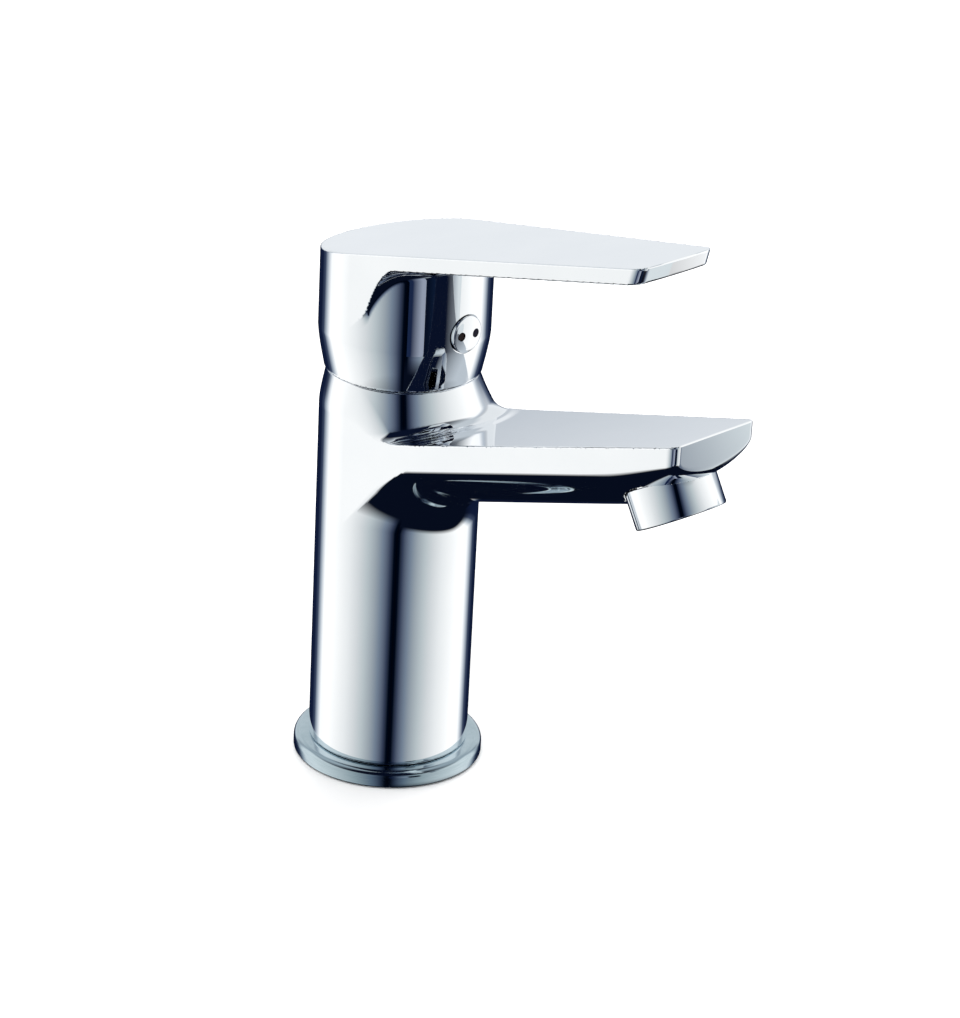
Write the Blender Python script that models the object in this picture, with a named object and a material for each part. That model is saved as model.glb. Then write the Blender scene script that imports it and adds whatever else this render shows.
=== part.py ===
"""Single-lever basin mixer with a ceramic-disc cartridge, as it comes apart on a bench.

Metres, +Z up. The spout points along -Y. The origin is on the body's axis at the deck,
on the underside of the deck gasket. Most pieces are turned or drilled about that axis.
"""
import math

import bmesh
import bpy
from mathutils import Matrix, Vector

MM = 0.001
GAP = 0.3 * MM                      # left between two pieces that touch
OVERCUT = 1.0 * MM                  # how far a cutter runs past the face it opens
ON_AXIS = 0.001 * MM                # a smaller radius is a point on the axis
CHAMFER = 0.4 * MM                  # on the outer edges of the ring and the collar
FINE = 48                           # sides of a large round piece
PLAIN = 32                          # sides of a round piece inside the body
SMALL = 16                          # sides of a small bore, pin or screw

# Deck, gasket and base ring
GASKET_RADIUS = 25.3 * MM
GASKET_THICKNESS = 1.7 * MM
RING_RADIUS = 26.7 * MM
RING_BOTTOM = 0.5 * MM
RING_TOP = 5.0 * MM
RING_BORE = 18.6 * MM
RING_EDGE = 2.0 * MM                # rounding of the upper outer edge
GROOVE_LAND = 1.0 * MM              # left between the ring's bore and its seal groove
GROOVE_WIDTH = 2.2 * MM
GROOVE_DEPTH = 1.7 * MM
HOSE_HOLE = 6.5 * MM                # holes in the gasket
STUD_HOLE = 4.0 * MM

# Body
BODY_RADIUS = 22.5 * MM
BODY_FOOT = RING_TOP + GAP
FOOT_EDGE = 0.4 * MM
NECK_START = 112.2 * MM             # the body starts to narrow towards the joint here
NECK_RADIUS = 20.7 * MM             # at the joint
RIM_EDGE = 0.4 * MM                 # bevel round the rim
JOINT = 116.5 * MM                  # height of the gap between body and handle
BODY_TOP = JOINT - GAP
POCKET_RADIUS = 17.8 * MM
POCKET_FLOOR = 84.0 * MM
PORT_X = 9.2 * MM                   # hose bores either side of the axis
HOSE_BORE = 8.0 * MM
HOSE_BORE_TOP = 40.0 * MM
PORT_RADIUS = 4.6 * MM              # threaded hose port above the bore
PORT_TOP = 52.0 * MM
WATERWAY = 3.2 * MM
STUD_Y = -12.5 * MM
STUD_RADIUS = 3.4 * MM
STUD_TOP = 26.0 * MM

# Spout, measured forwards from the axis
SPOUT_LENGTH = 111.7 * MM
SPOUT_TIP_HALF = 15.3 * MM
SPOUT_TOP = 98.6 * MM               # height of the top face where it would meet the axis
SPOUT_RISE = math.tan(math.radians(17.0))
SPOUT_WALL = 6.7 * MM               # upright part of the side
SPOUT_CORNER = 2.5 * MM
KEEL_AT = 92.0 * MM                 # the underside turns up towards the tip here
KEEL_HEIGHT = 107.3 * MM
KEEL_RISE = math.tan(math.radians(18.2))
NOSE_RISE = math.tan(math.radians(38.0))
UNDERSIDE_STEPS = 12
CHANNEL_START = Vector((0.0, -14.0, 92.7)) * MM
CHANNEL_END = Vector((0.0, -93.0, 117.6)) * MM
CHANNEL_RADIUS = 6.0 * MM

# Aerator, along its own axis; depth runs from the outlet up into the spout
AERATOR_TILT = math.radians(30.0)
AERATOR_OUTLET = Vector((0.0, -102.5, 106.8)) * MM
COLLAR_RADIUS = 12.0 * MM
COLLAR_CLEARANCE = 0.4 * MM         # round the collar, inside its recess
COLLAR_LENGTH = 10.4 * MM
COLLAR_BORE = 9.3 * MM
COLLAR_LIP = 8.8 * MM
THREAD_RADIUS = 10.4 * MM
THREAD_END = 13.4 * MM
SOCKET_RADIUS = 10.8 * MM
SOCKET_DEPTH = 15.5 * MM
INSERT_RADIUS = 9.0 * MM
INSERT_START = 1.3 * MM
INSERT_END = 10.0 * MM
WASHER_BORE = 8.2 * MM
SCREEN_THICKNESS = 0.7 * MM
CELL_PITCH = 3.5 * MM
CELL_RADIUS = 1.5 * MM

# Cartridge, from the pocket floor upwards
PIVOT = 102.5 * MM                  # the lever's pin
INLET_X = 6.5 * MM
INLET_Y = 4.5 * MM
OUTLET_Y = -5.0 * MM
OUTLET_GROOVE_BACK = -2.0 * MM
OUTLET_GROOVE_FLOOR = 1.4 * MM      # thickness left under it
BASE_RADIUS = 16.4 * MM
BASE_TOP = 88.0 * MM
SEAL_OUTER = 4.6 * MM
SEAL_INNER = 3.3 * MM
SEAL_HEIGHT = 1.3 * MM
FIXED_DISC_RADIUS = 13.8 * MM
FIXED_DISC_TOP = 91.3 * MM
MOVING_DISC_RADIUS = 11.2 * MM
MOVING_DISC_TOP = 93.8 * MM
MOVING_DISC_Y = 1.2 * MM            # closed position, behind the axis
CHAMBER_DEPTH = 1.5 * MM            # hollow under the moving disc, which mixes the water
MIXING_RADIUS = 6.2 * MM
CARRIER_TOP = 97.6 * MM
CHAMBER_RADIUS = 14.2 * MM
HOUSING_RADIUS = 17.4 * MM
HOUSING_STEP = 98.0 * MM
HOUSING_TOP = 114.0 * MM
HOUSING_MOUTH = 10.2 * MM
HOUSING_ROOF = 2.0 * MM
SEAL_GROOVE_LOW = 100.0 * MM
SEAL_GROOVE_HIGH = 102.4 * MM
SEAL_GROOVE_RADIUS = 15.7 * MM
ROTOR_RADIUS = 12.7 * MM
ROTOR_TOP = 111.7 * MM
ROTOR_SLOT_FRONT = -5.4 * MM        # the stem swings within this slot
ROTOR_SLOT_BACK = 9.4 * MM
PIN_RADIUS = 1.5 * MM
PIN_CLEARANCE = 0.1 * MM
PIN_HALF = 9.5 * MM
NUT_TOP = 117.8 * MM
NUT_INSET = 0.2 * MM                # of the nut's round part below the rim
NUT_BORE = 12.5 * MM
NUT_HEX = 15.5 * MM
DOME_OUTER = 23.6 * MM              # sphere about the pin that the handle swings over
DOME_INNER = 22.2 * MM
DOME_MOUTH = 13.5 * MM

# Stem: a flat bar through the cartridge, with a round foot in the disc carrier
STEM_HALF_X = 3.1 * MM
STEM_HALF_Y = 4.0 * MM
STEM_TOP = 134.0 * MM
STEM_FOOT_RADIUS = 2.2 * MM
STEM_FOOT_HEIGHT = 96.6 * MM
STEM_NECK = 1.5 * MM
STEM_SHOULDER = 4.2 * MM            # above the middle of the foot
STEM_TAPER = 1.4 * MM

# Handle
HANDLE_RADIUS = 23.4 * MM
HANDLE_BOTTOM = JOINT + GAP
LIP_RADIUS = 21.6 * MM              # upright lip round the skirt's lower edge
LIP_TOP = 119.0 * MM
LIP_BORE = 20.4 * MM                # widest at the edge, so that the handle can tilt
EDGE_BORE = 19.6 * MM
EDGE_BORE_TOP = 118.6 * MM
FLARE = 1.6 * MM                    # how far the skirt draws in, down to the lip
FLARE_POWER = 1.35
FLARE_STEPS = 4
HANDLE_SHOULDER = 128.0 * MM        # the skirt is a plain cylinder above this
HANDLE_BORE = 21.0 * MM
HANDLE_TOP = 153.2 * MM             # height of the top face on the axis
HANDLE_RISE = math.tan(math.radians(12.2))
PLATE_THICKNESS = 4.4 * MM
PLATE_LENGTH = 95.6 * MM
PLATE_TIP_HALF = 13.5 * MM
PLATE_CORNER = 3.0 * MM
PLATE_UNDERCUT = 1.2 * MM           # the end face leans back this far below its top edge
STOCK = 4.0 * MM                    # left over the lever's top face, for the slanted cut
ROOF = 5.5 * MM
BOSS_RADIUS = 9.0 * MM
BOSS_BOTTOM = 126.0 * MM
SCREW_HEIGHT = 132.2 * MM
SCREW_RADIUS = 2.5 * MM
SCREW_INSET = 0.6 * MM              # of its front end in the boss
HEX_KEY = 1.4 * MM
KEY_DEPTH = 2.5 * MM
KEY_HOLE_START = 18.0 * MM          # from the axis, inside the cavity
PLUG_RADIUS = 5.2 * MM
PLUG_SPIGOT = 4.1 * MM
PLUG_SEAT = 21.7 * MM               # depth of the plug's recess, from the axis
PLUG_RIM = 23.8 * MM
PLUG_APEX = 24.5 * MM
PLUG_LENGTH = 3.4 * MM              # spigot behind the plug's head
DOT_DEPTH = 0.9 * MM
DOT_X = 2.6 * MM
DOT_RADIUS = 1.1 * MM
DOT_FACE = 24.25 * MM


def clear_scene():
    for obj in list(bpy.data.objects):
        bpy.data.objects.remove(obj, do_unlink=True)


def finish(name, colour, roughness, metallic):
    """A plain Principled material."""
    material = bpy.data.materials.new(name)
    material.use_nodes = True
    shader = material.node_tree.nodes["Principled BSDF"]
    shader.inputs["Base Color"].default_value = (*colour, 1.0)
    shader.inputs["Roughness"].default_value = roughness
    shader.inputs["Metallic"].default_value = metallic
    return material


def add_object(name, bm, material):
    """Turn a bmesh into a smooth-shaded object of its own."""
    mesh = bpy.data.meshes.new(name)
    bm.to_mesh(mesh)
    bm.free()
    mesh.materials.append(material)
    mesh.shade_smooth()
    mesh.set_sharp_from_angle(angle=math.radians(30.0))
    obj = bpy.data.objects.new(name, mesh)
    bpy.context.scene.collection.objects.link(obj)
    return obj


def turned_mesh(outline, sides):
    """Spin a closed (radius, height) outline, listed anticlockwise, about Z."""
    bm = bmesh.new()
    rings = []
    for radius, height in outline:
        if radius < ON_AXIS:
            rings.append([bm.verts.new((0.0, 0.0, height))])
            continue
        ring = []
        for index in range(sides):
            angle = math.tau * index / sides
            ring.append(bm.verts.new((radius * math.cos(angle), radius * math.sin(angle), height)))
        rings.append(ring)
    for lower, upper in zip(rings, rings[1:] + rings[:1]):
        for index in range(sides):
            corners = [lower[index % len(lower)], lower[(index + 1) % len(lower)],
                       upper[(index + 1) % len(upper)], upper[index % len(upper)]]
            distinct = list(dict.fromkeys(corners))
            if len(distinct) > 2:
                bm.faces.new(distinct)
    return bm


def turned(name, outline, material, sides=PLAIN, place=None):
    """A turned piece, optionally moved from the Z axis by a matrix."""
    bm = turned_mesh(outline, sides)
    if place is not None:
        bm.transform(place)
    return add_object(name, bm, material)


def loft(name, sections, material):
    """Skin a row of closed sections with equal point counts, and cap both ends."""
    bm = bmesh.new()
    rings = [[bm.verts.new(point) for point in section] for section in sections]
    for near, far in zip(rings, rings[1:]):
        for index in range(len(near)):
            after = (index + 1) % len(near)
            bm.faces.new((near[index], near[after], far[after], far[index]))
    bm.faces.new(list(reversed(rings[0])))
    bm.faces.new(rings[-1])
    bmesh.ops.recalc_face_normals(bm, faces=bm.faces)
    return add_object(name, bm, material)


def block(name, low, high, material):
    """A box between two corners."""
    bm = bmesh.new()
    bmesh.ops.create_cube(bm, size=1.0)
    size = Vector(high) - Vector(low)
    middle = (Vector(high) + Vector(low)) / 2.0
    bm.transform(Matrix.Translation(middle) @ Matrix.Diagonal((*size, 1.0)))
    return add_object(name, bm, material)


def rod(name, start, end, radius, material, sides=SMALL):
    """A cylinder between two points."""
    start = Vector(start)
    end = Vector(end)
    axis = end - start
    bm = bmesh.new()
    bmesh.ops.create_cone(bm, cap_ends=True, segments=sides, radius1=radius, radius2=radius,
                          depth=axis.length)
    turn = axis.to_track_quat("Z", "Y").to_matrix().to_4x4()
    bm.transform(Matrix.Translation((start + end) / 2.0) @ turn)
    return add_object(name, bm, material)


def combine(target, tool, operation):
    """Leave a Boolean on the target, with the tool kept as a hidden guide."""
    tool.hide_render = True
    tool.display_type = "WIRE"
    modifier = target.modifiers.new(tool.name, "BOOLEAN")
    modifier.operation = operation
    modifier.solver = "EXACT"
    modifier.object = tool


def drill(target, label, start, end, radius, sides=SMALL):
    """Cut a round hole from start to end."""
    tool = rod(f"cutter_{target.name}_{label}", start, end, radius, target.data.materials[0], sides)
    combine(target, tool, "DIFFERENCE")


def arc(centre, radius, first, last, steps):
    """Points on a circle in the (radius, height) plane, angles in degrees."""
    points = []
    for index in range(steps + 1):
        angle = math.radians(first + (last - first) * index / steps)
        points.append((centre[0] + radius * math.cos(angle), centre[1] + radius * math.sin(angle)))
    return points


def tube_outline(inner, outer, bottom, top):
    return [(inner, bottom), (outer, bottom), (outer, top), (inner, top)]


def solid_outline(radius, bottom, top):
    return [(0.0, bottom), (radius, bottom), (radius, top), (0.0, top)]


def tangent_point(radius, length, half_width):
    """Where the side line through the tip corner touches the circle about the axis."""
    reach = math.hypot(length, half_width)
    angle = math.atan2(half_width, length) + math.acos(radius / reach)
    return radius * math.cos(angle), radius * math.sin(angle)


def plan_stations(radius, length, tip_half, corner, spans):
    """(forward, half width) pairs: inside the round, along the straight side, round the corner."""
    start, start_half = tangent_point(radius, length, tip_half)
    slope = (tip_half - start_half) / (length - start)
    stations = [(start - 1.5 * corner, start_half - corner)]
    straight_end = length - corner
    for index in range(spans + 1):
        forward = start + (straight_end - start) * index / spans
        stations.append((forward, start_half + slope * (forward - start)))
    for angle in (30.0, 60.0, 90.0):
        turn = math.radians(angle)
        half = start_half + slope * (straight_end - start) - corner * (1.0 - math.cos(turn))
        stations.append((straight_end + corner * math.sin(turn), half))
    return stations


def spout_top(forward):
    return SPOUT_TOP + SPOUT_RISE * forward


def spout_keel(forward):
    """Height of the underside on the centre line: a long slope, then the steeper nose."""
    rise = KEEL_RISE if forward < KEEL_AT else NOSE_RISE
    return KEEL_HEIGHT + rise * (forward - KEEL_AT)


def handle_top(y):
    return HANDLE_TOP - HANDLE_RISE * y


def spout_section(forward, half):
    """Flat top, upright sides, half-elliptical underside."""
    top = spout_top(forward)
    wall = top - SPOUT_WALL
    belly = wall - spout_keel(forward)
    points = [(-half, -forward, top), (half, -forward, top)]
    for index in range(UNDERSIDE_STEPS + 1):
        angle = math.pi * index / UNDERSIDE_STEPS
        points.append((half * math.cos(angle), -forward, wall - belly * math.sin(angle)))
    return points


def make_spout(material):
    stations = plan_stations(BODY_RADIUS, SPOUT_LENGTH, SPOUT_TIP_HALF, SPOUT_CORNER, 5)
    stations.append((KEEL_AT, None))
    stations.sort()
    for index, (forward, half) in enumerate(stations):
        if half is None:
            before, after = stations[index - 1], stations[index + 1]
            share = (forward - before[0]) / (after[0] - before[0])
            stations[index] = (forward, before[1] + share * (after[1] - before[1]))
    sections = [spout_section(forward, half) for forward, half in stations]
    return loft("guide_spout", sections, material)


def along_aerator(depth):
    """A point on the aerator's axis, at a depth above its outlet."""
    up = Vector((0.0, math.sin(AERATOR_TILT), math.cos(AERATOR_TILT)))
    return AERATOR_OUTLET + up * depth


def aerator_place():
    """Moves a piece turned about Z onto the aerator's axis, outlet at height zero."""
    return Matrix.Translation(AERATOR_OUTLET) @ Matrix.Rotation(-AERATOR_TILT, 4, "X")


def make_body(brass):
    outline = [(0.0, GASKET_THICKNESS + GAP), (RING_BORE - GAP, GASKET_THICKNESS + GAP),
               (RING_BORE - GAP, BODY_FOOT)]
    outline += arc((BODY_RADIUS - FOOT_EDGE, BODY_FOOT + FOOT_EDGE), FOOT_EDGE, -90.0, 0.0, 3)
    outline += [(BODY_RADIUS, NECK_START), (NECK_RADIUS, BODY_TOP - RIM_EDGE),
                (NECK_RADIUS - RIM_EDGE, BODY_TOP), (0.0, BODY_TOP)]
    body = turned("body", outline, brass, FINE)
    combine(body, make_spout(brass), "UNION")
    boss = rod("guide_aerator_boss", along_aerator(SOCKET_DEPTH), along_aerator(COLLAR_LENGTH),
               COLLAR_RADIUS - GAP, brass, PLAIN)
    combine(body, boss, "UNION")
    pocket = turned("cutter_pocket", solid_outline(POCKET_RADIUS, POCKET_FLOOR, BODY_TOP + OVERCUT),
                    brass, FINE)
    combine(body, pocket, "DIFFERENCE")
    bottom = GASKET_THICKNESS - OVERCUT
    for label, side in (("hot", -1.0), ("cold", 1.0)):
        x = side * PORT_X
        drill(body, f"{label}_hose_bore", (x, 0.0, bottom), (x, 0.0, HOSE_BORE_TOP), HOSE_BORE, 24)
        drill(body, f"{label}_port", (x, 0.0, HOSE_BORE_TOP - OVERCUT), (x, 0.0, PORT_TOP), PORT_RADIUS)
        drill(body, f"{label}_waterway", (x, 0.0, PORT_TOP - 2.0 * OVERCUT),
              (side * INLET_X, INLET_Y, POCKET_FLOOR + OVERCUT), WATERWAY)
    drill(body, "stud_hole", (0.0, STUD_Y, bottom), (0.0, STUD_Y, STUD_TOP), STUD_RADIUS)
    drill(body, "collar_recess", along_aerator(-SOCKET_DEPTH), along_aerator(COLLAR_LENGTH + GAP),
          COLLAR_RADIUS + COLLAR_CLEARANCE, PLAIN)
    drill(body, "aerator_socket", along_aerator(COLLAR_LENGTH - OVERCUT),
          along_aerator(SOCKET_DEPTH), SOCKET_RADIUS, PLAIN)
    drill(body, "spout_waterway", CHANNEL_START, CHANNEL_END, CHANNEL_RADIUS, 24)
    return body


def make_base(ring_material, rubber):
    """Base ring, the rubber gasket under it and the seal between ring and body."""
    recess = GASKET_RADIUS + GAP
    groove_inner = RING_BORE + GROOVE_LAND
    groove_outer = groove_inner + GROOVE_WIDTH
    groove_floor = RING_TOP - GROOVE_DEPTH
    outline = [(RING_BORE, GASKET_THICKNESS + GAP), (recess, GASKET_THICKNESS + GAP),
               (recess, RING_BOTTOM), (RING_RADIUS - CHAMFER, RING_BOTTOM),
               (RING_RADIUS, RING_BOTTOM + CHAMFER)]
    outline += arc((RING_RADIUS - RING_EDGE, RING_TOP - RING_EDGE), RING_EDGE, 0.0, 90.0, 3)
    outline += [(groove_outer, RING_TOP), (groove_outer, groove_floor), (groove_inner, groove_floor),
                (groove_inner, RING_TOP), (RING_BORE, RING_TOP)]
    ring = turned("base_ring", outline, ring_material, FINE)
    gasket = turned("deck_gasket", solid_outline(GASKET_RADIUS, 0.0, GASKET_THICKNESS), rubber, FINE)
    high = GASKET_THICKNESS + OVERCUT
    for label, side in (("hot", -1.0), ("cold", 1.0)):
        x = side * PORT_X
        drill(gasket, label, (x, 0.0, -OVERCUT), (x, 0.0, high), HOSE_HOLE, 24)
    drill(gasket, "stud", (0.0, STUD_Y, -OVERCUT), (0.0, STUD_Y, high), STUD_HOLE)
    seal_radius = GROOVE_WIDTH / 2.0 - GAP
    seal_centre = ((groove_inner + groove_outer) / 2.0, RING_TOP - seal_radius)
    seal = turned("ring_seal", arc(seal_centre, seal_radius, 0.0, 300.0, 5), rubber)
    return [ring, gasket, seal]


def cell_centres(rings):
    """Centres of a honeycomb of cells."""
    centres = []
    for row in range(-rings, rings + 1):
        count = 2 * rings + 1 - abs(row)
        for index in range(count):
            x = (index - (count - 1) / 2.0) * CELL_PITCH
            centres.append((x, row * CELL_PITCH * math.sin(math.radians(60.0))))
    return centres


def pierced_disc(name, bottom, top, material):
    """A round plug on the aerator's axis, pierced by a honeycomb of six-sided cells."""
    disc = turned(name, solid_outline(INSERT_RADIUS, bottom, top), material, PLAIN, aerator_place())
    bm = bmesh.new()
    depth = top - bottom + 2.0 * OVERCUT
    for x, y in cell_centres(2):
        place = Matrix.Translation((x, y, (bottom + top) / 2.0)) @ Matrix.Rotation(math.pi / 6.0, 4, "Z")
        bmesh.ops.create_cone(bm, cap_ends=True, segments=6, radius1=CELL_RADIUS, radius2=CELL_RADIUS,
                              depth=depth, matrix=place)
    bm.transform(aerator_place())
    combine(disc, add_object(f"cutter_{name}", bm, material), "DIFFERENCE")
    return disc


def make_aerator(chrome, plastic, steel, rubber):
    """Screwed collar with its insert, screen and washer."""
    collar_outline = [(COLLAR_LIP, 0.0), (COLLAR_RADIUS - CHAMFER, 0.0), (COLLAR_RADIUS, CHAMFER),
                      (COLLAR_RADIUS, COLLAR_LENGTH), (THREAD_RADIUS, COLLAR_LENGTH),
                      (THREAD_RADIUS, THREAD_END), (COLLAR_BORE, THREAD_END),
                      (COLLAR_BORE, INSERT_START - GAP), (COLLAR_LIP, INSERT_START - GAP)]
    collar = turned("aerator_collar", collar_outline, chrome, PLAIN, aerator_place())
    insert = pierced_disc("aerator_insert", INSERT_START, INSERT_END, plastic)
    screen_start = INSERT_END + GAP
    screen = pierced_disc("aerator_screen", screen_start, screen_start + SCREEN_THICKNESS, steel)
    washer_outline = tube_outline(WASHER_BORE, THREAD_RADIUS, THREAD_END + GAP, SOCKET_DEPTH - GAP)
    washer = turned("aerator_washer", washer_outline, rubber, PLAIN, aerator_place())
    return [collar, insert, screen, washer]


def make_inlet_seal(label, side, rubber):
    place = Matrix.Translation((side * INLET_X, INLET_Y, 0.0))
    bottom = POCKET_FLOOR + GAP
    outline = tube_outline(SEAL_INNER, SEAL_OUTER, bottom, bottom + SEAL_HEIGHT)
    return turned(f"inlet_seal_{label}", outline, rubber, SMALL, place)


def make_cartridge_base(plastic):
    """Floor of the cartridge: two sealed inlets, and an outlet groove open at the front."""
    bottom = POCKET_FLOOR + GAP
    base = turned("cartridge_base", solid_outline(BASE_RADIUS, bottom, BASE_TOP), plastic)
    for label, side in (("hot", -1.0), ("cold", 1.0)):
        x = side * INLET_X
        drill(base, f"{label}_inlet", (x, INLET_Y, bottom - OVERCUT), (x, INLET_Y, BASE_TOP + OVERCUT),
              WATERWAY)
        drill(base, f"{label}_seal_seat", (x, INLET_Y, bottom - OVERCUT),
              (x, INLET_Y, bottom + SEAL_HEIGHT + GAP), SEAL_OUTER + GAP)
    groove = block("cutter_outlet_groove",
                   (-WATERWAY, -BASE_RADIUS - OVERCUT, bottom + OUTLET_GROOVE_FLOOR),
                   (WATERWAY, OUTLET_GROOVE_BACK, BASE_TOP + OVERCUT), plastic)
    combine(base, groove, "DIFFERENCE")
    return base


def make_discs(ceramic, plastic):
    """Fixed disc, the disc that slides and turns on it, and that disc's carrier."""
    fixed_bottom = BASE_TOP + GAP
    fixed = turned("fixed_disc", solid_outline(FIXED_DISC_RADIUS, fixed_bottom, FIXED_DISC_TOP), ceramic)
    for label, x, y, radius in (("hot", -INLET_X, INLET_Y, WATERWAY), ("cold", INLET_X, INLET_Y, WATERWAY),
                                ("outlet", 0.0, OUTLET_Y, WATERWAY)):
        drill(fixed, label, (x, y, fixed_bottom - OVERCUT), (x, y, FIXED_DISC_TOP + OVERCUT), radius)
    behind = Matrix.Translation((0.0, MOVING_DISC_Y, 0.0))
    moving_bottom = FIXED_DISC_TOP + GAP
    moving = turned("moving_disc", solid_outline(MOVING_DISC_RADIUS, moving_bottom, MOVING_DISC_TOP),
                    ceramic, PLAIN, behind)
    drill(moving, "mixing_chamber", (0.0, MOVING_DISC_Y, moving_bottom - OVERCUT),
          (0.0, MOVING_DISC_Y, moving_bottom + CHAMBER_DEPTH), MIXING_RADIUS, 24)
    carrier_bottom = MOVING_DISC_TOP + GAP
    carrier = turned("disc_carrier", solid_outline(MOVING_DISC_RADIUS, carrier_bottom, CARRIER_TOP),
                     plastic, PLAIN, behind)
    socket_low = STEM_FOOT_HEIGHT - STEM_FOOT_RADIUS + GAP
    socket_half = STEM_FOOT_RADIUS + GAP
    socket = block("cutter_carrier_socket", (-STEM_HALF_X - GAP, -socket_half, socket_low - 2.0 * GAP),
                   (STEM_HALF_X + GAP, socket_half, CARRIER_TOP + OVERCUT), plastic)
    combine(carrier, socket, "DIFFERENCE")
    return fixed, moving, carrier


def make_housing(plastic, rubber):
    """Cartridge shell round the discs and the rotor, with the seal that closes the pocket."""
    roof = HOUSING_TOP - HOUSING_ROOF
    outline = [(CHAMBER_RADIUS, BASE_TOP + GAP), (BASE_RADIUS, BASE_TOP + GAP),
               (BASE_RADIUS, HOUSING_STEP), (HOUSING_RADIUS, HOUSING_STEP),
               (HOUSING_RADIUS, SEAL_GROOVE_LOW), (SEAL_GROOVE_RADIUS, SEAL_GROOVE_LOW),
               (SEAL_GROOVE_RADIUS, SEAL_GROOVE_HIGH), (HOUSING_RADIUS, SEAL_GROOVE_HIGH),
               (HOUSING_RADIUS, HOUSING_TOP), (HOUSING_MOUTH, HOUSING_TOP), (HOUSING_MOUTH, roof),
               (ROTOR_RADIUS + GAP, roof), (ROTOR_RADIUS + GAP, CARRIER_TOP + GAP),
               (CHAMBER_RADIUS, CARRIER_TOP + GAP)]
    housing = turned("cartridge_housing", outline, plastic)
    seal_centre = ((SEAL_GROOVE_RADIUS + POCKET_RADIUS) / 2.0, (SEAL_GROOVE_LOW + SEAL_GROOVE_HIGH) / 2.0)
    seal_radius = (POCKET_RADIUS - SEAL_GROOVE_RADIUS) / 2.0 - GAP
    seal = turned("housing_seal", arc(seal_centre, seal_radius, 0.0, 300.0, 5), rubber)
    return [housing, seal]


def make_nut(brass):
    """Threaded ring with a hexagon that holds the cartridge down."""
    flange = BODY_TOP - NUT_INSET
    nut = turned("retaining_nut", tube_outline(NUT_BORE, HOUSING_RADIUS, HOUSING_TOP + GAP, flange), brass)
    hexagon = turned("guide_nut_hexagon", tube_outline(NUT_BORE, NUT_HEX, flange - GAP, NUT_TOP), brass, 6)
    combine(nut, hexagon, "UNION")
    drill(nut, "bore", (0.0, 0.0, HOUSING_TOP - OVERCUT), (0.0, 0.0, NUT_TOP + OVERCUT), NUT_BORE + GAP,
          PLAIN)
    return nut


def make_dome(chrome):
    """Ball-shaped bonnet on the rim of the body, centred on the lever's pin."""
    base = JOINT - PIVOT
    outer_low = math.degrees(math.asin(base / DOME_OUTER))
    inner_low = math.degrees(math.asin(base / DOME_INNER))
    mouth = math.degrees(math.acos(DOME_MOUTH / DOME_OUTER))
    outline = arc((0.0, PIVOT), DOME_OUTER, outer_low, mouth, 4)
    outline += arc((0.0, PIVOT), DOME_INNER, mouth, inner_low, 4)
    return turned("bonnet_dome", outline, chrome)


def make_rotor(plastic, steel):
    """The turning part that carries the lever's pin, and the pin."""
    rotor = turned("rotor", solid_outline(ROTOR_RADIUS, CARRIER_TOP + 2.0 * GAP, ROTOR_TOP), plastic)
    slot = block("cutter_rotor_slot", (-STEM_HALF_X - GAP, ROTOR_SLOT_FRONT, CARRIER_TOP - OVERCUT),
                 (STEM_HALF_X + GAP, ROTOR_SLOT_BACK, ROTOR_TOP + OVERCUT), plastic)
    combine(rotor, slot, "DIFFERENCE")
    reach = ROTOR_RADIUS + OVERCUT
    drill(rotor, "pin_hole", (-reach, 0.0, PIVOT), (reach, 0.0, PIVOT), PIN_RADIUS + PIN_CLEARANCE)
    pin = rod("pivot_pin", (-PIN_HALF, 0.0, PIVOT), (PIN_HALF, 0.0, PIVOT), PIN_RADIUS, steel)
    return [rotor, pin]


def make_stem(brass):
    """The bar that the handle turns and tilts, with its round foot in the carrier."""
    neck_low = STEM_FOOT_HEIGHT + math.sqrt(STEM_FOOT_RADIUS ** 2 - STEM_NECK ** 2)
    neck_angle = math.degrees(math.asin((neck_low - STEM_FOOT_HEIGHT) / STEM_FOOT_RADIUS))
    foot = arc((0.0, STEM_FOOT_HEIGHT), STEM_FOOT_RADIUS, -180.0 - neck_angle, neck_angle, 9)
    shoulder = STEM_FOOT_HEIGHT + STEM_SHOULDER
    neck_high = shoulder - STEM_TAPER
    profile = foot + [(STEM_NECK, neck_high), (STEM_HALF_Y, shoulder), (STEM_HALF_Y, STEM_TOP),
                      (-STEM_HALF_Y, STEM_TOP), (-STEM_HALF_Y, shoulder), (-STEM_NECK, neck_high)]
    sections = [[(side * STEM_HALF_X, y, z) for y, z in profile] for side in (-1.0, 1.0)]
    stem = loft("stem", sections, brass)
    reach = STEM_HALF_X + OVERCUT
    drill(stem, "pin_hole", (-reach, 0.0, PIVOT), (reach, 0.0, PIVOT), PIN_RADIUS + PIN_CLEARANCE)
    return stem


def slope_top(obj, flat_height, offset):
    """Raise the top ring of an upright piece onto a plane parallel to the handle's top face."""
    for vertex in obj.data.vertices:
        if vertex.co.z > flat_height - ON_AXIS:
            vertex.co.z = handle_top(vertex.co.y) + offset


def make_plate(chrome):
    """The flat lever, a little too thick at the top: the slanted cut finishes it."""
    sections = []
    stations = plan_stations(HANDLE_RADIUS, PLATE_LENGTH, PLATE_TIP_HALF, PLATE_CORNER, 2)
    for forward, half in stations:
        at_tip = forward > PLATE_LENGTH - PLATE_CORNER - ON_AXIS
        lean = PLATE_UNDERCUT if at_tip else 0.0
        back = forward - lean
        over = forward + lean * STOCK / PLATE_THICKNESS
        low = handle_top(-back) - PLATE_THICKNESS
        high = handle_top(-over) + STOCK
        sections.append([(-half, -over, high), (half, -over, high), (half, -back, low), (-half, -back, low)])
    return loft("guide_lever_plate", sections, chrome)


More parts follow.
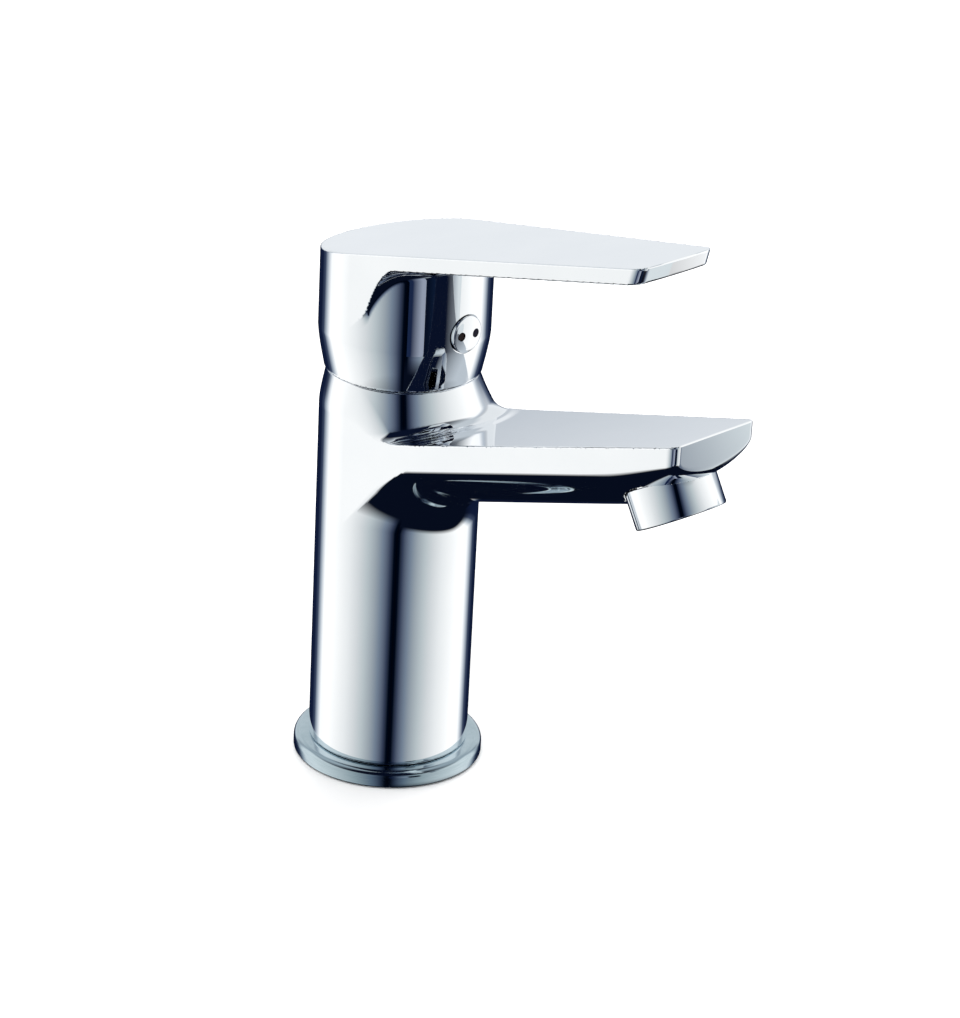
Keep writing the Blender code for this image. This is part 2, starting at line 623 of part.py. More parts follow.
def make_handle(chrome):
    """Skirt and lever in one casting, hollow inside, with the boss that takes the stem."""
    raw_top = HANDLE_TOP + HANDLE_RADIUS
    outline = [(0.0, HANDLE_BOTTOM), (LIP_RADIUS, HANDLE_BOTTOM), (LIP_RADIUS, LIP_TOP)]
    for index in range(1, FLARE_STEPS + 1):
        share = index / FLARE_STEPS
        outline.append((HANDLE_RADIUS - FLARE * (1.0 - share) ** FLARE_POWER,
                        LIP_TOP + (HANDLE_SHOULDER - LIP_TOP) * share))
    outline += [(HANDLE_RADIUS, raw_top), (0.0, raw_top)]
    handle = turned("handle", outline, chrome, FINE)
    slope_top(handle, raw_top, STOCK)
    combine(handle, make_plate(chrome), "UNION")
    raw = block("cutter_handle_top", (-1.5 * HANDLE_RADIUS, -1.3 * PLATE_LENGTH, 0.0),
                (1.5 * HANDLE_RADIUS, 1.5 * HANDLE_RADIUS, 2.0 * HANDLE_RADIUS), chrome)
    for vertex in raw.data.vertices:
        vertex.co.z += handle_top(vertex.co.y)
    combine(handle, raw, "DIFFERENCE")
    cavity_outline = [(0.0, HANDLE_BOTTOM - OVERCUT), (LIP_BORE, HANDLE_BOTTOM - OVERCUT),
                      (LIP_BORE, HANDLE_BOTTOM), (EDGE_BORE, EDGE_BORE_TOP), (HANDLE_BORE, HANDLE_SHOULDER),
                      (HANDLE_BORE, raw_top), (0.0, raw_top)]
    cavity = turned("cutter_handle_cavity", cavity_outline, chrome, FINE)
    slope_top(cavity, raw_top, -ROOF)
    combine(handle, cavity, "DIFFERENCE")
    boss = turned("guide_handle_boss", solid_outline(BOSS_RADIUS, BOSS_BOTTOM, raw_top), chrome)
    slope_top(boss, raw_top, -ROOF / 2.0)
    combine(handle, boss, "UNION")
    socket = block("cutter_stem_socket", (-STEM_HALF_X - GAP, -STEM_HALF_Y - GAP, BOSS_BOTTOM - OVERCUT),
                   (STEM_HALF_X + GAP, STEM_HALF_Y + GAP, STEM_TOP + GAP), chrome)
    combine(handle, socket, "DIFFERENCE")
    drill(handle, "screw_hole", (0.0, -STEM_HALF_Y + OVERCUT, SCREW_HEIGHT),
          (0.0, -BOSS_RADIUS - OVERCUT, SCREW_HEIGHT), SCREW_RADIUS + GAP)
    drill(handle, "key_hole", (0.0, -KEY_HOLE_START, SCREW_HEIGHT),
          (0.0, -HANDLE_RADIUS - OVERCUT, SCREW_HEIGHT), PLUG_SPIGOT + GAP, 24)
    drill(handle, "plug_recess", (0.0, -PLUG_SEAT, SCREW_HEIGHT),
          (0.0, -HANDLE_RADIUS - 2.0 * OVERCUT, SCREW_HEIGHT), PLUG_RADIUS + GAP, 24)
    return handle


def make_handle_screw(steel):
    """Grub screw that clamps the stem, with its hexagon socket facing forwards."""
    front = -BOSS_RADIUS + SCREW_INSET
    screw = rod("handle_screw", (0.0, -STEM_HALF_Y - GAP, SCREW_HEIGHT), (0.0, front, SCREW_HEIGHT),
                SCREW_RADIUS, steel)
    drill(screw, "key_socket", (0.0, front + KEY_DEPTH, SCREW_HEIGHT), (0.0, front - OVERCUT, SCREW_HEIGHT),
          HEX_KEY, 6)
    return screw


def forwards_at(height):
    """Turns a piece made about Z to point along -Y, at a height on the handle."""
    return Matrix.Translation((0.0, 0.0, height)) @ Matrix.Rotation(math.pi / 2.0, 4, "X")


def make_index(chrome, enamels):
    """Domed plug over the screw, with a dot for hot on the left and for cold on the right."""
    rise = PLUG_APEX - PLUG_RIM
    sphere = (PLUG_RADIUS ** 2 + rise ** 2) / (2.0 * rise)
    rim_angle = math.degrees(math.asin((sphere - rise) / sphere))
    seat = PLUG_SEAT + GAP
    inner_end = seat - PLUG_LENGTH
    outline = [(0.0, inner_end), (PLUG_SPIGOT, inner_end), (PLUG_SPIGOT, seat), (PLUG_RADIUS, seat)]
    outline += arc((0.0, PLUG_APEX - sphere), sphere, rim_angle, 90.0, 4)
    plug = turned("index_plug", outline, chrome, 24, forwards_at(SCREW_HEIGHT))
    pieces = [plug]
    for (label, enamel), side in zip(enamels.items(), (-1.0, 1.0)):
        x = side * DOT_X
        floor = -DOT_FACE + DOT_DEPTH
        drill(plug, label, (x, floor, SCREW_HEIGHT), (x, -PLUG_APEX - OVERCUT, SCREW_HEIGHT),
              DOT_RADIUS + GAP)
        pieces.append(rod(f"index_dot_{label}", (x, floor - GAP, SCREW_HEIGHT),
                          (x, -DOT_FACE, SCREW_HEIGHT), DOT_RADIUS, enamel))
    return pieces


def carry(label, height, pieces):
    """Parent a moving group to an empty on its joint's axis."""
    empty = bpy.data.objects.new(label, None)
    empty.location = (0.0, 0.0, height)
    bpy.context.scene.collection.objects.link(empty)
    for piece in pieces:
        piece.parent = empty
        piece.matrix_parent_inverse = Matrix.Translation((0.0, 0.0, -height))


def main():
    clear_scene()
    chrome = finish("chrome", (0.78, 0.80, 0.83), 0.06, 1.0)
    satin = finish("satin_chrome", (0.50, 0.56, 0.60), 0.28, 1.0)
    brass = finish("brass", (0.72, 0.55, 0.27), 0.35, 1.0)
    steel = finish("stainless_steel", (0.60, 0.60, 0.61), 0.30, 1.0)
    rubber = finish("black_rubber", (0.02, 0.02, 0.02), 0.75, 0.0)
    grey_plastic = finish("grey_plastic", (0.42, 0.43, 0.44), 0.45, 0.0)
    white_plastic = finish("white_plastic", (0.80, 0.80, 0.78), 0.40, 0.0)
    ceramic = finish("alumina_ceramic", (0.86, 0.85, 0.80), 0.15, 0.0)
    enamels = {"hot": finish("hot_enamel", (0.05, 0.008, 0.01), 0.25, 0.0),
               "cold": finish("cold_enamel", (0.006, 0.01, 0.05), 0.25, 0.0)}

    make_base(satin, rubber)
    make_body(chrome)
    make_aerator(chrome, white_plastic, steel, rubber)
    for label, side in (("hot", -1.0), ("cold", 1.0)):
        make_inlet_seal(label, side, rubber)
    make_cartridge_base(grey_plastic)
    make_housing(grey_plastic, rubber)
    make_nut(brass)
    make_dome(chrome)

    fixed, moving, carrier = make_discs(ceramic, white_plastic)
    carry("disc_slide_axis", MOVING_DISC_TOP, [moving, carrier])
    carry("temperature_axis", JOINT, make_rotor(white_plastic, steel))
    lever = [make_stem(brass), make_handle(chrome), make_handle_screw(steel)]
    carry("lever_pivot", PIVOT, lever + make_index(chrome, enamels))


main()
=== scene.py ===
"""Studio look of the single-lever basin mixer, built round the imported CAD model.

Metres, +Z up, spout along -Y. The two castings, body and handle, are smooth closed meshes
taken from distance fields, so that their fillets reflect cleanly. The round trim is turned
from finer outlines. What lies inside the cartridge stays the CAD's own, with real finishes.
"""
import math

import bmesh
import bpy
import numpy as np
from mathutils import Matrix, Vector

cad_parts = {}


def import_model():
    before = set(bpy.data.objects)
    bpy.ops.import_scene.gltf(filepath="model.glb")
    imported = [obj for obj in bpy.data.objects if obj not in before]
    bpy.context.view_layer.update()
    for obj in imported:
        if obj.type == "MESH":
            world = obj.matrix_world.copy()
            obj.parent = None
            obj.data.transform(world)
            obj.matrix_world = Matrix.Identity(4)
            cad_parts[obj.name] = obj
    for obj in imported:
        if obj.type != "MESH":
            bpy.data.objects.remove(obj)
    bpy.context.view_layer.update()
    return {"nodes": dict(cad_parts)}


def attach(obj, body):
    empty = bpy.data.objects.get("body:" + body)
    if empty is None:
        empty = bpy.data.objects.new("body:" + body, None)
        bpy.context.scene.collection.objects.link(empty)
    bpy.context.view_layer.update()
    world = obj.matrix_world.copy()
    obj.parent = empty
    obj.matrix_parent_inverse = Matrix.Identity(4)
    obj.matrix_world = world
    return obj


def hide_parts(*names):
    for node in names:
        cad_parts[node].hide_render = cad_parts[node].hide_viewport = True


MM = 0.001
GAP = 0.3 * MM
SEAM = 0.1 * MM                     # left where a seam shows
OVERCUT = 1.0 * MM                  # how far a cutter runs past the face it opens
SMALL = 0.5 * MM                    # rounding of a crisp cast edge
GRID = 0.5 * MM
ON_AXIS = 0.001 * MM                # a smaller radius is a point on the axis
TINY = 1e-9                         # keeps a root or a division away from zero
PROBE = 0.002 * MM                  # step for the slope of a field
GENTLEST = 0.05                     # a gentler squared slope counts as this one
RELAXING = 0.6                      # share of the way to the neighbours' mean, each round
RELAX_ROUNDS = 6
SETTLE_ROUNDS = 3
ON_SURFACE = 0.01 * MM              # a vertex this near the field lies on the casting
FACING = 0.7                        # least agreement of a field's normal with its face
SHARP = math.radians(35.0)
SIDES = 256   # sides of a large turned piece
PLUG_SIDES = 128
BORE_SIDES = 96
SMALL_SIDES = 48

# Deck, gasket and base ring
GASKET_RADIUS = 25.3 * MM
GASKET_TOP = 1.7 * MM
RING_RADIUS = 26.7 * MM
RING_BOTTOM = 0.5 * MM
RING_TOP = 5.0 * MM
RING_BORE = 18.6 * MM
RING_EDGE = 2.0 * MM
RING_CHAMFER = 0.4 * MM             # rounding of the lower outer edge
GROOVE_LAND = 1.0 * MM              # left between the ring's bore and its seal groove
GROOVE_WIDTH = 2.2 * MM
GROOVE_DEPTH = 1.7 * MM
GASKET_EDGE = 0.25 * MM
HOSE_HOLE = 6.5 * MM                # holes in the gasket
STUD_HOLE = 4.0 * MM

# Body column
BODY_RADIUS = 22.5 * MM
BODY_FOOT = RING_TOP + SEAM
FOOT_EDGE = 0.7 * MM
BODY_TOP = 116.2 * MM
NECK_RADIUS = 20.7 * MM             # cone under the joint, flaring down into the spout
NECK_FLARE = 0.30
NECK_TRUMPET = 0.1                  # how much more it flares one reach further down
TRUMPET_REACH = 10.0 * MM
NECK_LEAN = 0.08                    # how far the cone leans forwards as it goes down
NECK_ROUNDING = 2.0 * MM
NECK_SINK = 3.0 * MM                # how deep its lower end sits in the spout
POCKET_RADIUS = 17.8 * MM
POCKET_FLOOR = 84.0 * MM
PORT_X = 9.2 * MM
HOSE_BORE = 8.0 * MM
HOSE_BORE_TOP = 40.0 * MM
PORT_RADIUS = 4.6 * MM
PORT_TOP = 52.0 * MM
STUD_Y = -12.5 * MM
STUD_RADIUS = 3.4 * MM
STUD_TOP = 26.0 * MM
WATERWAY = 3.2 * MM
INLET = Vector((6.5, 4.5, 0.0)) * MM
CHANNEL_START = Vector((0.0, -14.0, 92.7)) * MM
CHANNEL_END = Vector((0.0, -93.0, 117.6)) * MM
CHANNEL_RADIUS = 6.0 * MM

# Spout, measured forwards from the axis
SPOUT_LENGTH = 111.7 * MM
SPOUT_TIP_HALF = 15.3 * MM
SPOUT_TOP = 98.6 * MM
SPOUT_SLOPE = math.radians(17.0)
SPOUT_WALL = 7.0 * MM
WALL_AT_TIP = 4.8 * MM
WALL_TAPER = 30.0 * MM              # length over which the upright part gets lower
BELLY_POWER = 1.5                   # the underside's section: 2 is an ellipse, 1 a wedge
NOSE_POWER = 1.9                    # the same curve at the tip, which is fuller
SPOUT_CORNER = 2.5 * MM
KEEL_AT = 92.0 * MM
KEEL_HEIGHT = 107.3 * MM
KEEL_RISE = math.tan(math.radians(18.2))
NOSE_RISE = math.tan(math.radians(38.0))
KEEL_ROUNDING = 3.0 * MM
SHALLOWEST_BELLY = 2.0 * MM
FILLET_ABOVE = 3.0 * MM             # between the spout's top face and the neck
FILLET_BELOW = 10.5 * MM            # between its underside and the body
FILLET_BOSS = 0.5 * MM              # between its underside and the aerator's boss
RUN_OUT = 0.8 * MM                  # rounding where a fillet runs out into the side
RUN_OUT_REACH = 16.0 * MM
RUN_OUT_DEPTH = 0.5                 # share of the belly's depth where it is complete

# Aerator, along its own axis
AERATOR_TILT = math.radians(30.0)
AERATOR_OUTLET = Vector((0.0, -102.5, 106.8)) * MM
COLLAR_RADIUS = 12.0 * MM
COLLAR_LENGTH = 10.4 * MM
COLLAR_BORE = 9.3 * MM
COLLAR_LIP = 8.8 * MM
THREAD_RADIUS = 10.4 * MM
THREAD_END = 13.4 * MM
SOCKET_RADIUS = 10.8 * MM
SOCKET_DEPTH = 15.5 * MM
INSERT_START = 1.3 * MM
BOSS_INSET = 0.9 * MM               # the spout's boss is slimmer than the collar by this
COLLAR_EDGE = 0.5 * MM
COLLAR_TOP_EDGE = 0.3 * MM
MOUTH_WIDTH = 0.2 * MM              # slope round the collar's mouth
MOUTH_DEPTH = 0.15 * MM

# Dome under the handle, centred on the lever's pin
PIVOT = 102.5 * MM
JOINT = 116.5 * MM
DOME_OUTER = 23.6 * MM
DOME_INNER = 22.2 * MM
DOME_MOUTH = 13.5 * MM

# Handle
HANDLE_RADIUS = 23.4 * MM
HANDLE_BOTTOM = JOINT + SEAM
HANDLE_EDGE = 0.2 * MM
HANDLE_FLARE = 1.4 * MM             # how far the skirt draws in towards its lip
HANDLE_SHOULDER = 128.0 * MM
FLARE_POWER = 1.35
LIP_RADIUS = 21.6 * MM
LIP_TOP = 119.0 * MM
LIP_OVERLAP = 1.0 * MM              # how far the lip runs on up inside the skirt
LIP_BORE = 20.4 * MM
HANDLE_EDGE_BORE = 19.6 * MM
HANDLE_EDGE_TOP = 118.6 * MM
HANDLE_BORE = 21.0 * MM
HANDLE_TOP = 153.2 * MM
HANDLE_SLOPE = math.radians(12.2)
PLATE_THICKNESS = 4.4 * MM
PLATE_LENGTH = 95.6 * MM
PLATE_TIP_HALF = 13.5 * MM
PLATE_CORNER = 3.0 * MM
PLATE_UNDERCUT = 1.2 * MM
PLATE_BOW = 0.5 * MM
FILLET_ARCH = 4.0 * MM              # between the lever's underside and the skirt
ARCH_START = 8.6 * MM               # the side's lower edge turns up here, seen from the side
ARCH_CORNER = 9.0 * MM
ARCH_ROUNDNESS = 0.99               # 1 would end the corner upright
ARCH_FALL = 4.0                     # slope of the lower edge behind the corner
ARCH_DEPTH = 6.5 * MM
ARCH_FADE = 8.0 * MM                # fillet that runs the side wall out into the skirt
FADE_START = 16.6 * MM
FADE_LENGTH = 10.0 * MM
ROOF = 5.5 * MM
BOSS_RADIUS = 9.0 * MM
BOSS_BOTTOM = 126.0 * MM
STEM_SOCKET = Vector((3.4, 4.3, 134.3)) * MM
SCREW_HEIGHT = 132.2 * MM
SCREW_HOLE = 2.8 * MM
KEY_HOLE = 4.4 * MM
KEY_HOLE_START = 18.0 * MM          # from the axis, inside the cavity
PLUG_RADIUS = 5.2 * MM
PLUG_SEAT = 21.7 * MM
PLUG_RIM = 23.9 * MM
PLUG_APEX = 24.5 * MM
PLUG_EDGE = 0.5 * MM
PLUG_EDGE_DROP = 0.35 * MM          # the rounded edge's centre below the rim
PLUG_EDGE_TURN = 70.0               # degrees of it that show
PLUG_DOME_START = 2.5               # degrees in from the rim
PLUG_SPIGOT = 4.1 * MM
PLUG_LENGTH = 3.4 * MM
DOT_X = 2.6 * MM
DOT_RADIUS = 1.1 * MM
DOT_FACE = 24.25 * MM
DOT_DEPTH = 0.9 * MM
DOT_EDGE = 0.15 * MM
DOT_CLEARANCE = 0.15 * MM

# Camera
CAMERA_PLACE = Vector((-586.597, -596.751, 442.043)) * MM
CAMERA_RIGHT = Vector((0.70803, -0.70452, 0.04838))
CAMERA_UP = Vector((0.25251, 0.31655, 0.91435))
CAMERA_BACK = Vector((-0.65949, -0.63518, 0.40202))
CAMERA_LENS = 117.0
CAMERA_SENSOR = 36.0
CLIP_START = 0.05

# Light tent. Angles are in degrees: up from level, or round from the side the lens is on.
# A panel's stops are (share of its range, colour); the sides range from the front to the back.
FLOOR_REACH = 6.0
PLAIN_WHITE = (0.95, 0.95, 0.95)
TENT_FRONT = (-0.677, -0.736)
STEEPEST = 0.001                    # least level part of a direction, straight up or down
TENT_SIDES = ((0.0, (0.0, 0.001, 0.004)), (0.020, (0.0, 0.002, 0.008)), (0.047, (0.034, 0.048, 0.09)),
              (0.078, (0.11, 0.14, 0.20)), (0.11, (0.18, 0.23, 0.30)), (0.16, (0.33, 0.38, 0.42)),
              (0.225, (0.50, 0.56, 0.58)), (0.30, (0.69, 0.72, 0.73)), (0.38, (0.86, 0.88, 0.88)),
              (0.46, (0.98, 0.99, 0.98)), (0.56, (1.12, 1.12, 1.11)), (0.66, (1.06, 1.07, 1.07)),
              (0.715, (0.42, 0.48, 0.55)), (0.76, (0.045, 0.065, 0.12)), (0.82, (0.006, 0.012, 0.04)),
              (1.0, (0.004, 0.008, 0.03)))
TENT_BACK = ((0.0, (0.004, 0.008, 0.03)), (0.25, (0.10, 0.13, 0.20)), (0.45, (0.50, 0.545, 0.60)),
             (0.6, (0.84, 0.87, 0.90)), (1.0, (0.80, 0.83, 0.85)))
TENT_ROOF = ((0.0, (0.003, 0.006, 0.02)), (1.0, (0.55, 0.60, 0.64)))
TENT_DARK = (0.002, 0.004, 0.012)
BACK_FROM = (125.0, 140.0)          # the back panel takes over from the sides across these
BACK_FOOT = (-16.0, -12.0)
BACK_SHADING = (-14.0, 10.0)
ROOF_FROM = (32.0, 42.0)
ROOF_SHADING = (60.0, 120.0)
LOW_DARK = (-42.0, -33.0)           # dark below, on the right and at the back
LOW_DARK_FROM = (118.0, 132.0)
LOWEST_DARK = (-54.0, -42.0)        # dark below, all round

# Lamps, flags and the card beyond the spout's tip
LAMP_SIZE = 1.2
LAMP_POWER = 14.0
LAMP_TARGET = (0.0, 0.0, 0.05)
FLAG_DISTANCE = 0.25
FLAG_LOW = 0.002
FLAG_HIGH = 0.09
FLAG_NEAR = (229.5, 250.5)
FLAG_FAR = (250.5, 264.0)
CARD_PLACE = (0.046, -0.154, 0.094)
CARD_FACING = (-0.66, 0.635, 0.40)
CARD_SIZE = 0.06


# ---------------------------------------------------------------- distance fields

def soft_union(a, b, radius):
    """Joins two fields with a round fillet in the inner corner."""
    inner = np.hypot(np.maximum(radius - a, 0.0), np.maximum(radius - b, 0.0))
    return np.maximum(radius, np.minimum(a, b)) - inner


def soft_cut(a, b, radius):
    """Keeps what two fields share, with the outer edge rounded."""
    outer = np.hypot(np.maximum(radius + a, 0.0), np.maximum(radius + b, 0.0))
    return np.minimum(-radius, np.maximum(a, b)) + outer


def smooth_step(value):
    share = np.clip(value, 0.0, 1.0)
    return share * share * (3.0 - 2.0 * share)


class Tongue:
    """Plan of a circle with a tongue, whose straight sides leave the circle at a tangent."""

    def __init__(self, radius, length, tip_half):
        reach = math.hypot(length, tip_half)
        angle = math.atan2(tip_half, length) + math.acos(radius / reach)
        self.radius = radius
        self.forward = math.cos(angle)
        self.across = math.sin(angle)

    def side(self, x, forward):
        """Distance outside the plan."""
        along_normal = np.abs(x) * self.across + forward * self.forward
        ahead = forward * self.across > np.abs(x) * self.forward
        return np.where(ahead, along_normal, np.hypot(x, forward)) - self.radius

    def half(self, forward):
        """Half width of the tongue."""
        return (self.radius - forward * self.forward) / self.across


SPOUT_PLAN = Tongue(BODY_RADIUS, SPOUT_LENGTH, SPOUT_TIP_HALF)
LEVER_PLAN = Tongue(HANDLE_RADIUS, PLATE_LENGTH, PLATE_TIP_HALF)


def keel_height(forward):
    """Underside on the centre line: a long slope that turns up smoothly into the nose."""
    past = forward - KEEL_AT
    bend = (past + np.hypot(past, KEEL_ROUNDING)) / 2.0
    return KEEL_HEIGHT + KEEL_RISE * past + (NOSE_RISE - KEEL_RISE) * (bend - KEEL_ROUNDING / 2.0)


def body_field(points):
    x, forward, z = points[:, 0], -points[:, 1], points[:, 2]
    side = SPOUT_PLAN.side(x, forward)
    ahead = np.maximum(forward, 0.0)
    top_height = SPOUT_TOP + math.tan(SPOUT_SLOPE) * ahead
    top = (z - top_height) * math.cos(SPOUT_SLOPE)

    drop = BODY_TOP - z
    flare = NECK_FLARE + NECK_TRUMPET * np.maximum(drop, 0.0) / TRUMPET_REACH
    cone = np.hypot(x, forward - NECK_LEAN * drop) - NECK_RADIUS - flare * drop
    cone = cone / np.hypot(1.0, flare)
    neck = soft_cut(soft_cut(cone, side, NECK_ROUNDING), -drop, SMALL)
    neck = np.maximum(neck, top_height - NECK_SINK - z)

    to_tip = smooth_step((forward - SPOUT_LENGTH) / WALL_TAPER + 1.0)
    wall = top_height - SPOUT_WALL + (SPOUT_WALL - WALL_AT_TIP) * to_tip
    half = SPOUT_PLAN.half(ahead)
    belly_depth = np.maximum(wall - keel_height(ahead), SHALLOWEST_BELLY)
    across = np.maximum(1.0 + side / half, 0.0)
    below = np.maximum(wall - z, 0.0) / belly_depth
    power = BELLY_POWER + (NOSE_POWER - BELLY_POWER) * to_tip
    ring = np.maximum(across ** power + below ** power, TINY) ** (1.0 / power)
    less = power - 1.0
    slope = np.hypot(across ** less / half, below ** less / belly_depth) / ring ** less
    belly = (ring - 1.0) / np.maximum(slope, TINY)
    spout = soft_cut(belly, forward - SPOUT_LENGTH, SPOUT_CORNER)
    spout = soft_cut(spout, top, SMALL)

    column = np.hypot(x, forward) - BODY_RADIUS
    column = np.maximum(column, top)
    lower = soft_union(column, spout, FILLET_BELOW)
    both_near = np.clip(1.0 - np.maximum(column, spout) / FILLET_BELOW, 0.0, 1.0)
    at_front = smooth_step(forward / RUN_OUT_REACH) * smooth_step(below / RUN_OUT_DEPTH)
    lower = soft_cut(lower, side, RUN_OUT * both_near * at_front)
    lower = soft_cut(lower, top, SMALL)
    joined = np.maximum(soft_union(lower, neck, FILLET_ABOVE), side)

    radial, depth = from_collar(points)
    boss = np.maximum(radial - COLLAR_RADIUS + BOSS_INSET, depth - SOCKET_DEPTH)
    boss = soft_cut(boss, COLLAR_LENGTH + GAP - depth, SMALL)
    joined = soft_union(joined, boss, FILLET_BOSS)
    recess = np.maximum(radial - COLLAR_RADIUS - GAP, depth - COLLAR_LENGTH - GAP)
    joined = np.maximum(joined, -recess)
    return soft_cut(joined, BODY_FOOT - z, FOOT_EDGE)


def from_collar(points):
    """Distance from the aerator's axis, and depth along it above the outlet."""
    up = np.array((0.0, math.sin(AERATOR_TILT), math.cos(AERATOR_TILT)))
    offset = points - np.array(AERATOR_OUTLET)
    depth = offset @ up
    return np.linalg.norm(offset - depth[:, None] * up, axis=1), depth


def handle_field(points):
    x, forward, z = points[:, 0], -points[:, 1], points[:, 2]
    radial = np.hypot(x, forward)
    drawn_in = np.maximum((HANDLE_SHOULDER - z) / (HANDLE_SHOULDER - LIP_TOP), 0.0)
    skirt = radial - (HANDLE_RADIUS - HANDLE_FLARE * drawn_in ** FLARE_POWER)
    lip = np.maximum(radial - LIP_RADIUS, z - LIP_TOP - LIP_OVERLAP)
    skirt = np.minimum(skirt, lip)

    top_height = HANDLE_TOP + math.tan(HANDLE_SLOPE) * forward
    top = (z - top_height) * math.cos(HANDLE_SLOPE)
    into_corner = np.clip(1.0 - (forward - ARCH_START) / ARCH_CORNER, 0.0, 1.0)
    drop = ARCH_CORNER * (1.0 - np.sqrt(1.0 - ARCH_ROUNDNESS * into_corner ** 2))
    drop = drop + ARCH_FALL * np.maximum(ARCH_START - forward, 0.0)
    drop = ARCH_DEPTH * np.tanh(drop / ARCH_DEPTH)
    steep = np.sqrt(1.0 + (drop / ARCH_CORNER) ** 2)
    under = (top_height - PLATE_THICKNESS - drop - z) / steep
    side = LEVER_PLAN.side(x, forward)
    bow = PLATE_BOW * (x / PLATE_TIP_HALF) ** 2
    lean = PLATE_UNDERCUT * (top_height - z) / PLATE_THICKNESS
    end = forward - (PLATE_LENGTH - bow - lean)
    plate = soft_cut(soft_cut(side, end, PLATE_CORNER), under, SMALL)
    fade = smooth_step((FADE_START - forward) / FADE_LENGTH)
    joined = soft_union(skirt, plate, FILLET_ARCH + (ARCH_FADE - FILLET_ARCH) * fade)
    joined = np.maximum(joined, side)
    joined = soft_cut(joined, top, SMALL)
    return soft_cut(joined, HANDLE_BOTTOM - z, HANDLE_EDGE)


# ---------------------------------------------------------------- meshes

def slope_at(field, points):
    """Gradient of a field, by central differences."""
    result = np.empty_like(points)
    for axis in range(3):
        shift = np.zeros(3)
        shift[axis] = PROBE
        result[:, axis] = (field(points + shift) - field(points - shift)) / (2.0 * PROBE)
    return result


def settle(field, points, rounds):
    """Move points along the gradient until they lie on the field's surface."""
    for _ in range(rounds):
        slope = slope_at(field, points)
        steep = np.maximum((slope * slope).sum(axis=1), GENTLEST)
        move = field(points)[:, None] * slope / steep[:, None]
        length = np.linalg.norm(move, axis=1)[:, None]
        points = points - move * np.minimum(1.0, GRID / np.maximum(length, TINY))
    return points


def surface_net(field, low, high, spacing):
    """Quads over the zero surface of a field, one vertex for each grid cell it crosses."""
    axes = [np.arange(a - 2.0 * spacing, b + 3.0 * spacing, spacing) for a, b in zip(low, high)]
    grid = np.stack(np.meshgrid(*axes, indexing="ij"), axis=-1)
    inside = field(grid.reshape(-1, 3)).reshape(grid.shape[:3]) < 0.0
    count = np.zeros([n - 1 for n in inside.shape], np.int8)
    for corner in np.ndindex(2, 2, 2):
        window = tuple(slice(c, n - 1 + c) for c, n in zip(corner, inside.shape))
        count += inside[window]
    crossed = (count > 0) & (count < 8)
    number = np.full(crossed.shape, -1)
    number[crossed] = np.arange(crossed.sum())
    cells = np.argwhere(crossed)
    points = np.array([a[0] for a in axes]) + (cells + 0.5) * spacing
    quads = []
    for axis in range(3):
        one, two = (axis + 1) % 3, (axis + 2) % 3
        first = np.moveaxis(inside, (axis, one, two), (0, 1, 2))
        cell = np.moveaxis(number, (axis, one, two), (0, 1, 2))
        near = first[:-1, 1:-1, 1:-1]
        far = first[1:, 1:-1, 1:-1]
        ring = [cell[:, 1:, 1:], cell[:, :-1, 1:], cell[:, :-1, :-1], cell[:, 1:, :-1]]
        for leaving, order in ((near & ~far, (0, 1, 2, 3)), (far & ~near, (3, 2, 1, 0))):
            quads.append(np.stack([ring[index][leaving] for index in order], axis=1))
    return points, np.concatenate(quads)


def relax(field, points, quads):
    """Even out the spacing of the vertices without leaving the surface."""
    edges = np.concatenate([quads[:, (a, (a + 1) % 4)] for a in range(4)])
    edges = np.concatenate([edges, edges[:, ::-1]])
    valence = np.bincount(edges[:, 0], minlength=len(points))[:, None]
    for _ in range(RELAX_ROUNDS):
        mean = np.empty_like(points)
        for axis in range(3):
            mean[:, axis] = np.bincount(edges[:, 0], points[edges[:, 1], axis], len(points))
        points = settle(field, points + RELAXING * (mean / valence - points), 1)
    return settle(field, points, SETTLE_ROUNDS)


def add_mesh(name, points, faces, material=None):
    mesh = bpy.data.meshes.new(name)
    mesh.from_pydata([tuple(p) for p in points], [], [tuple(f) for f in faces])
    return add_object(name, mesh, material)


def add_object(name, mesh, material=None):
    if material is not None:
        mesh.materials.append(material)
    obj = bpy.data.objects.new(name, mesh)
    bpy.context.scene.collection.objects.link(obj)
    return obj


def cast(name, field, low, high):
    """A casting: the smooth closed surface of a field."""
    points, quads = surface_net(field, low, high, GRID)
    points = settle(field, points, SETTLE_ROUNDS)
    points = relax(field, points, quads)
    return add_mesh(name, points, quads)


def turned_bmesh(outline, sides=SIDES, place=None):
    """Spin a closed (radius, height) outline, listed anticlockwise, about Z."""
    bm = bmesh.new()
    rings = []
    for radius, height in outline:
        if radius < ON_AXIS:
            rings.append([bm.verts.new((0.0, 0.0, height))])
            continue
        angles = [math.tau * index / sides for index in range(sides)]
        rings.append([bm.verts.new((radius * math.cos(a), radius * math.sin(a), height)) for a in angles])
    for lower, upper in zip(rings, rings[1:] + rings[:1]):
        for index in range(sides):
            after = index + 1
            corners = [lower[index % len(lower)], lower[after % len(lower)],
                       upper[after % len(upper)], upper[index % len(upper)]]
            distinct = list(dict.fromkeys(corners))
            if len(distinct) > 2:
                bm.faces.new(distinct)
    if place is not None:
        bm.transform(place)
    return bm


def bm_object(name, bm, material=None):
    mesh = bpy.data.meshes.new(name)
    bm.to_mesh(mesh)
    bm.free()
    return add_object(name, mesh, material)


def turned(name, outline, material=None, sides=SIDES, place=None):
    obj = bm_object(name, turned_bmesh(outline, sides, place), material)
    smooth(obj)
    return obj


def smooth(obj):
    obj.data.shade_smooth()
    obj.data.set_sharp_from_angle(angle=SHARP)


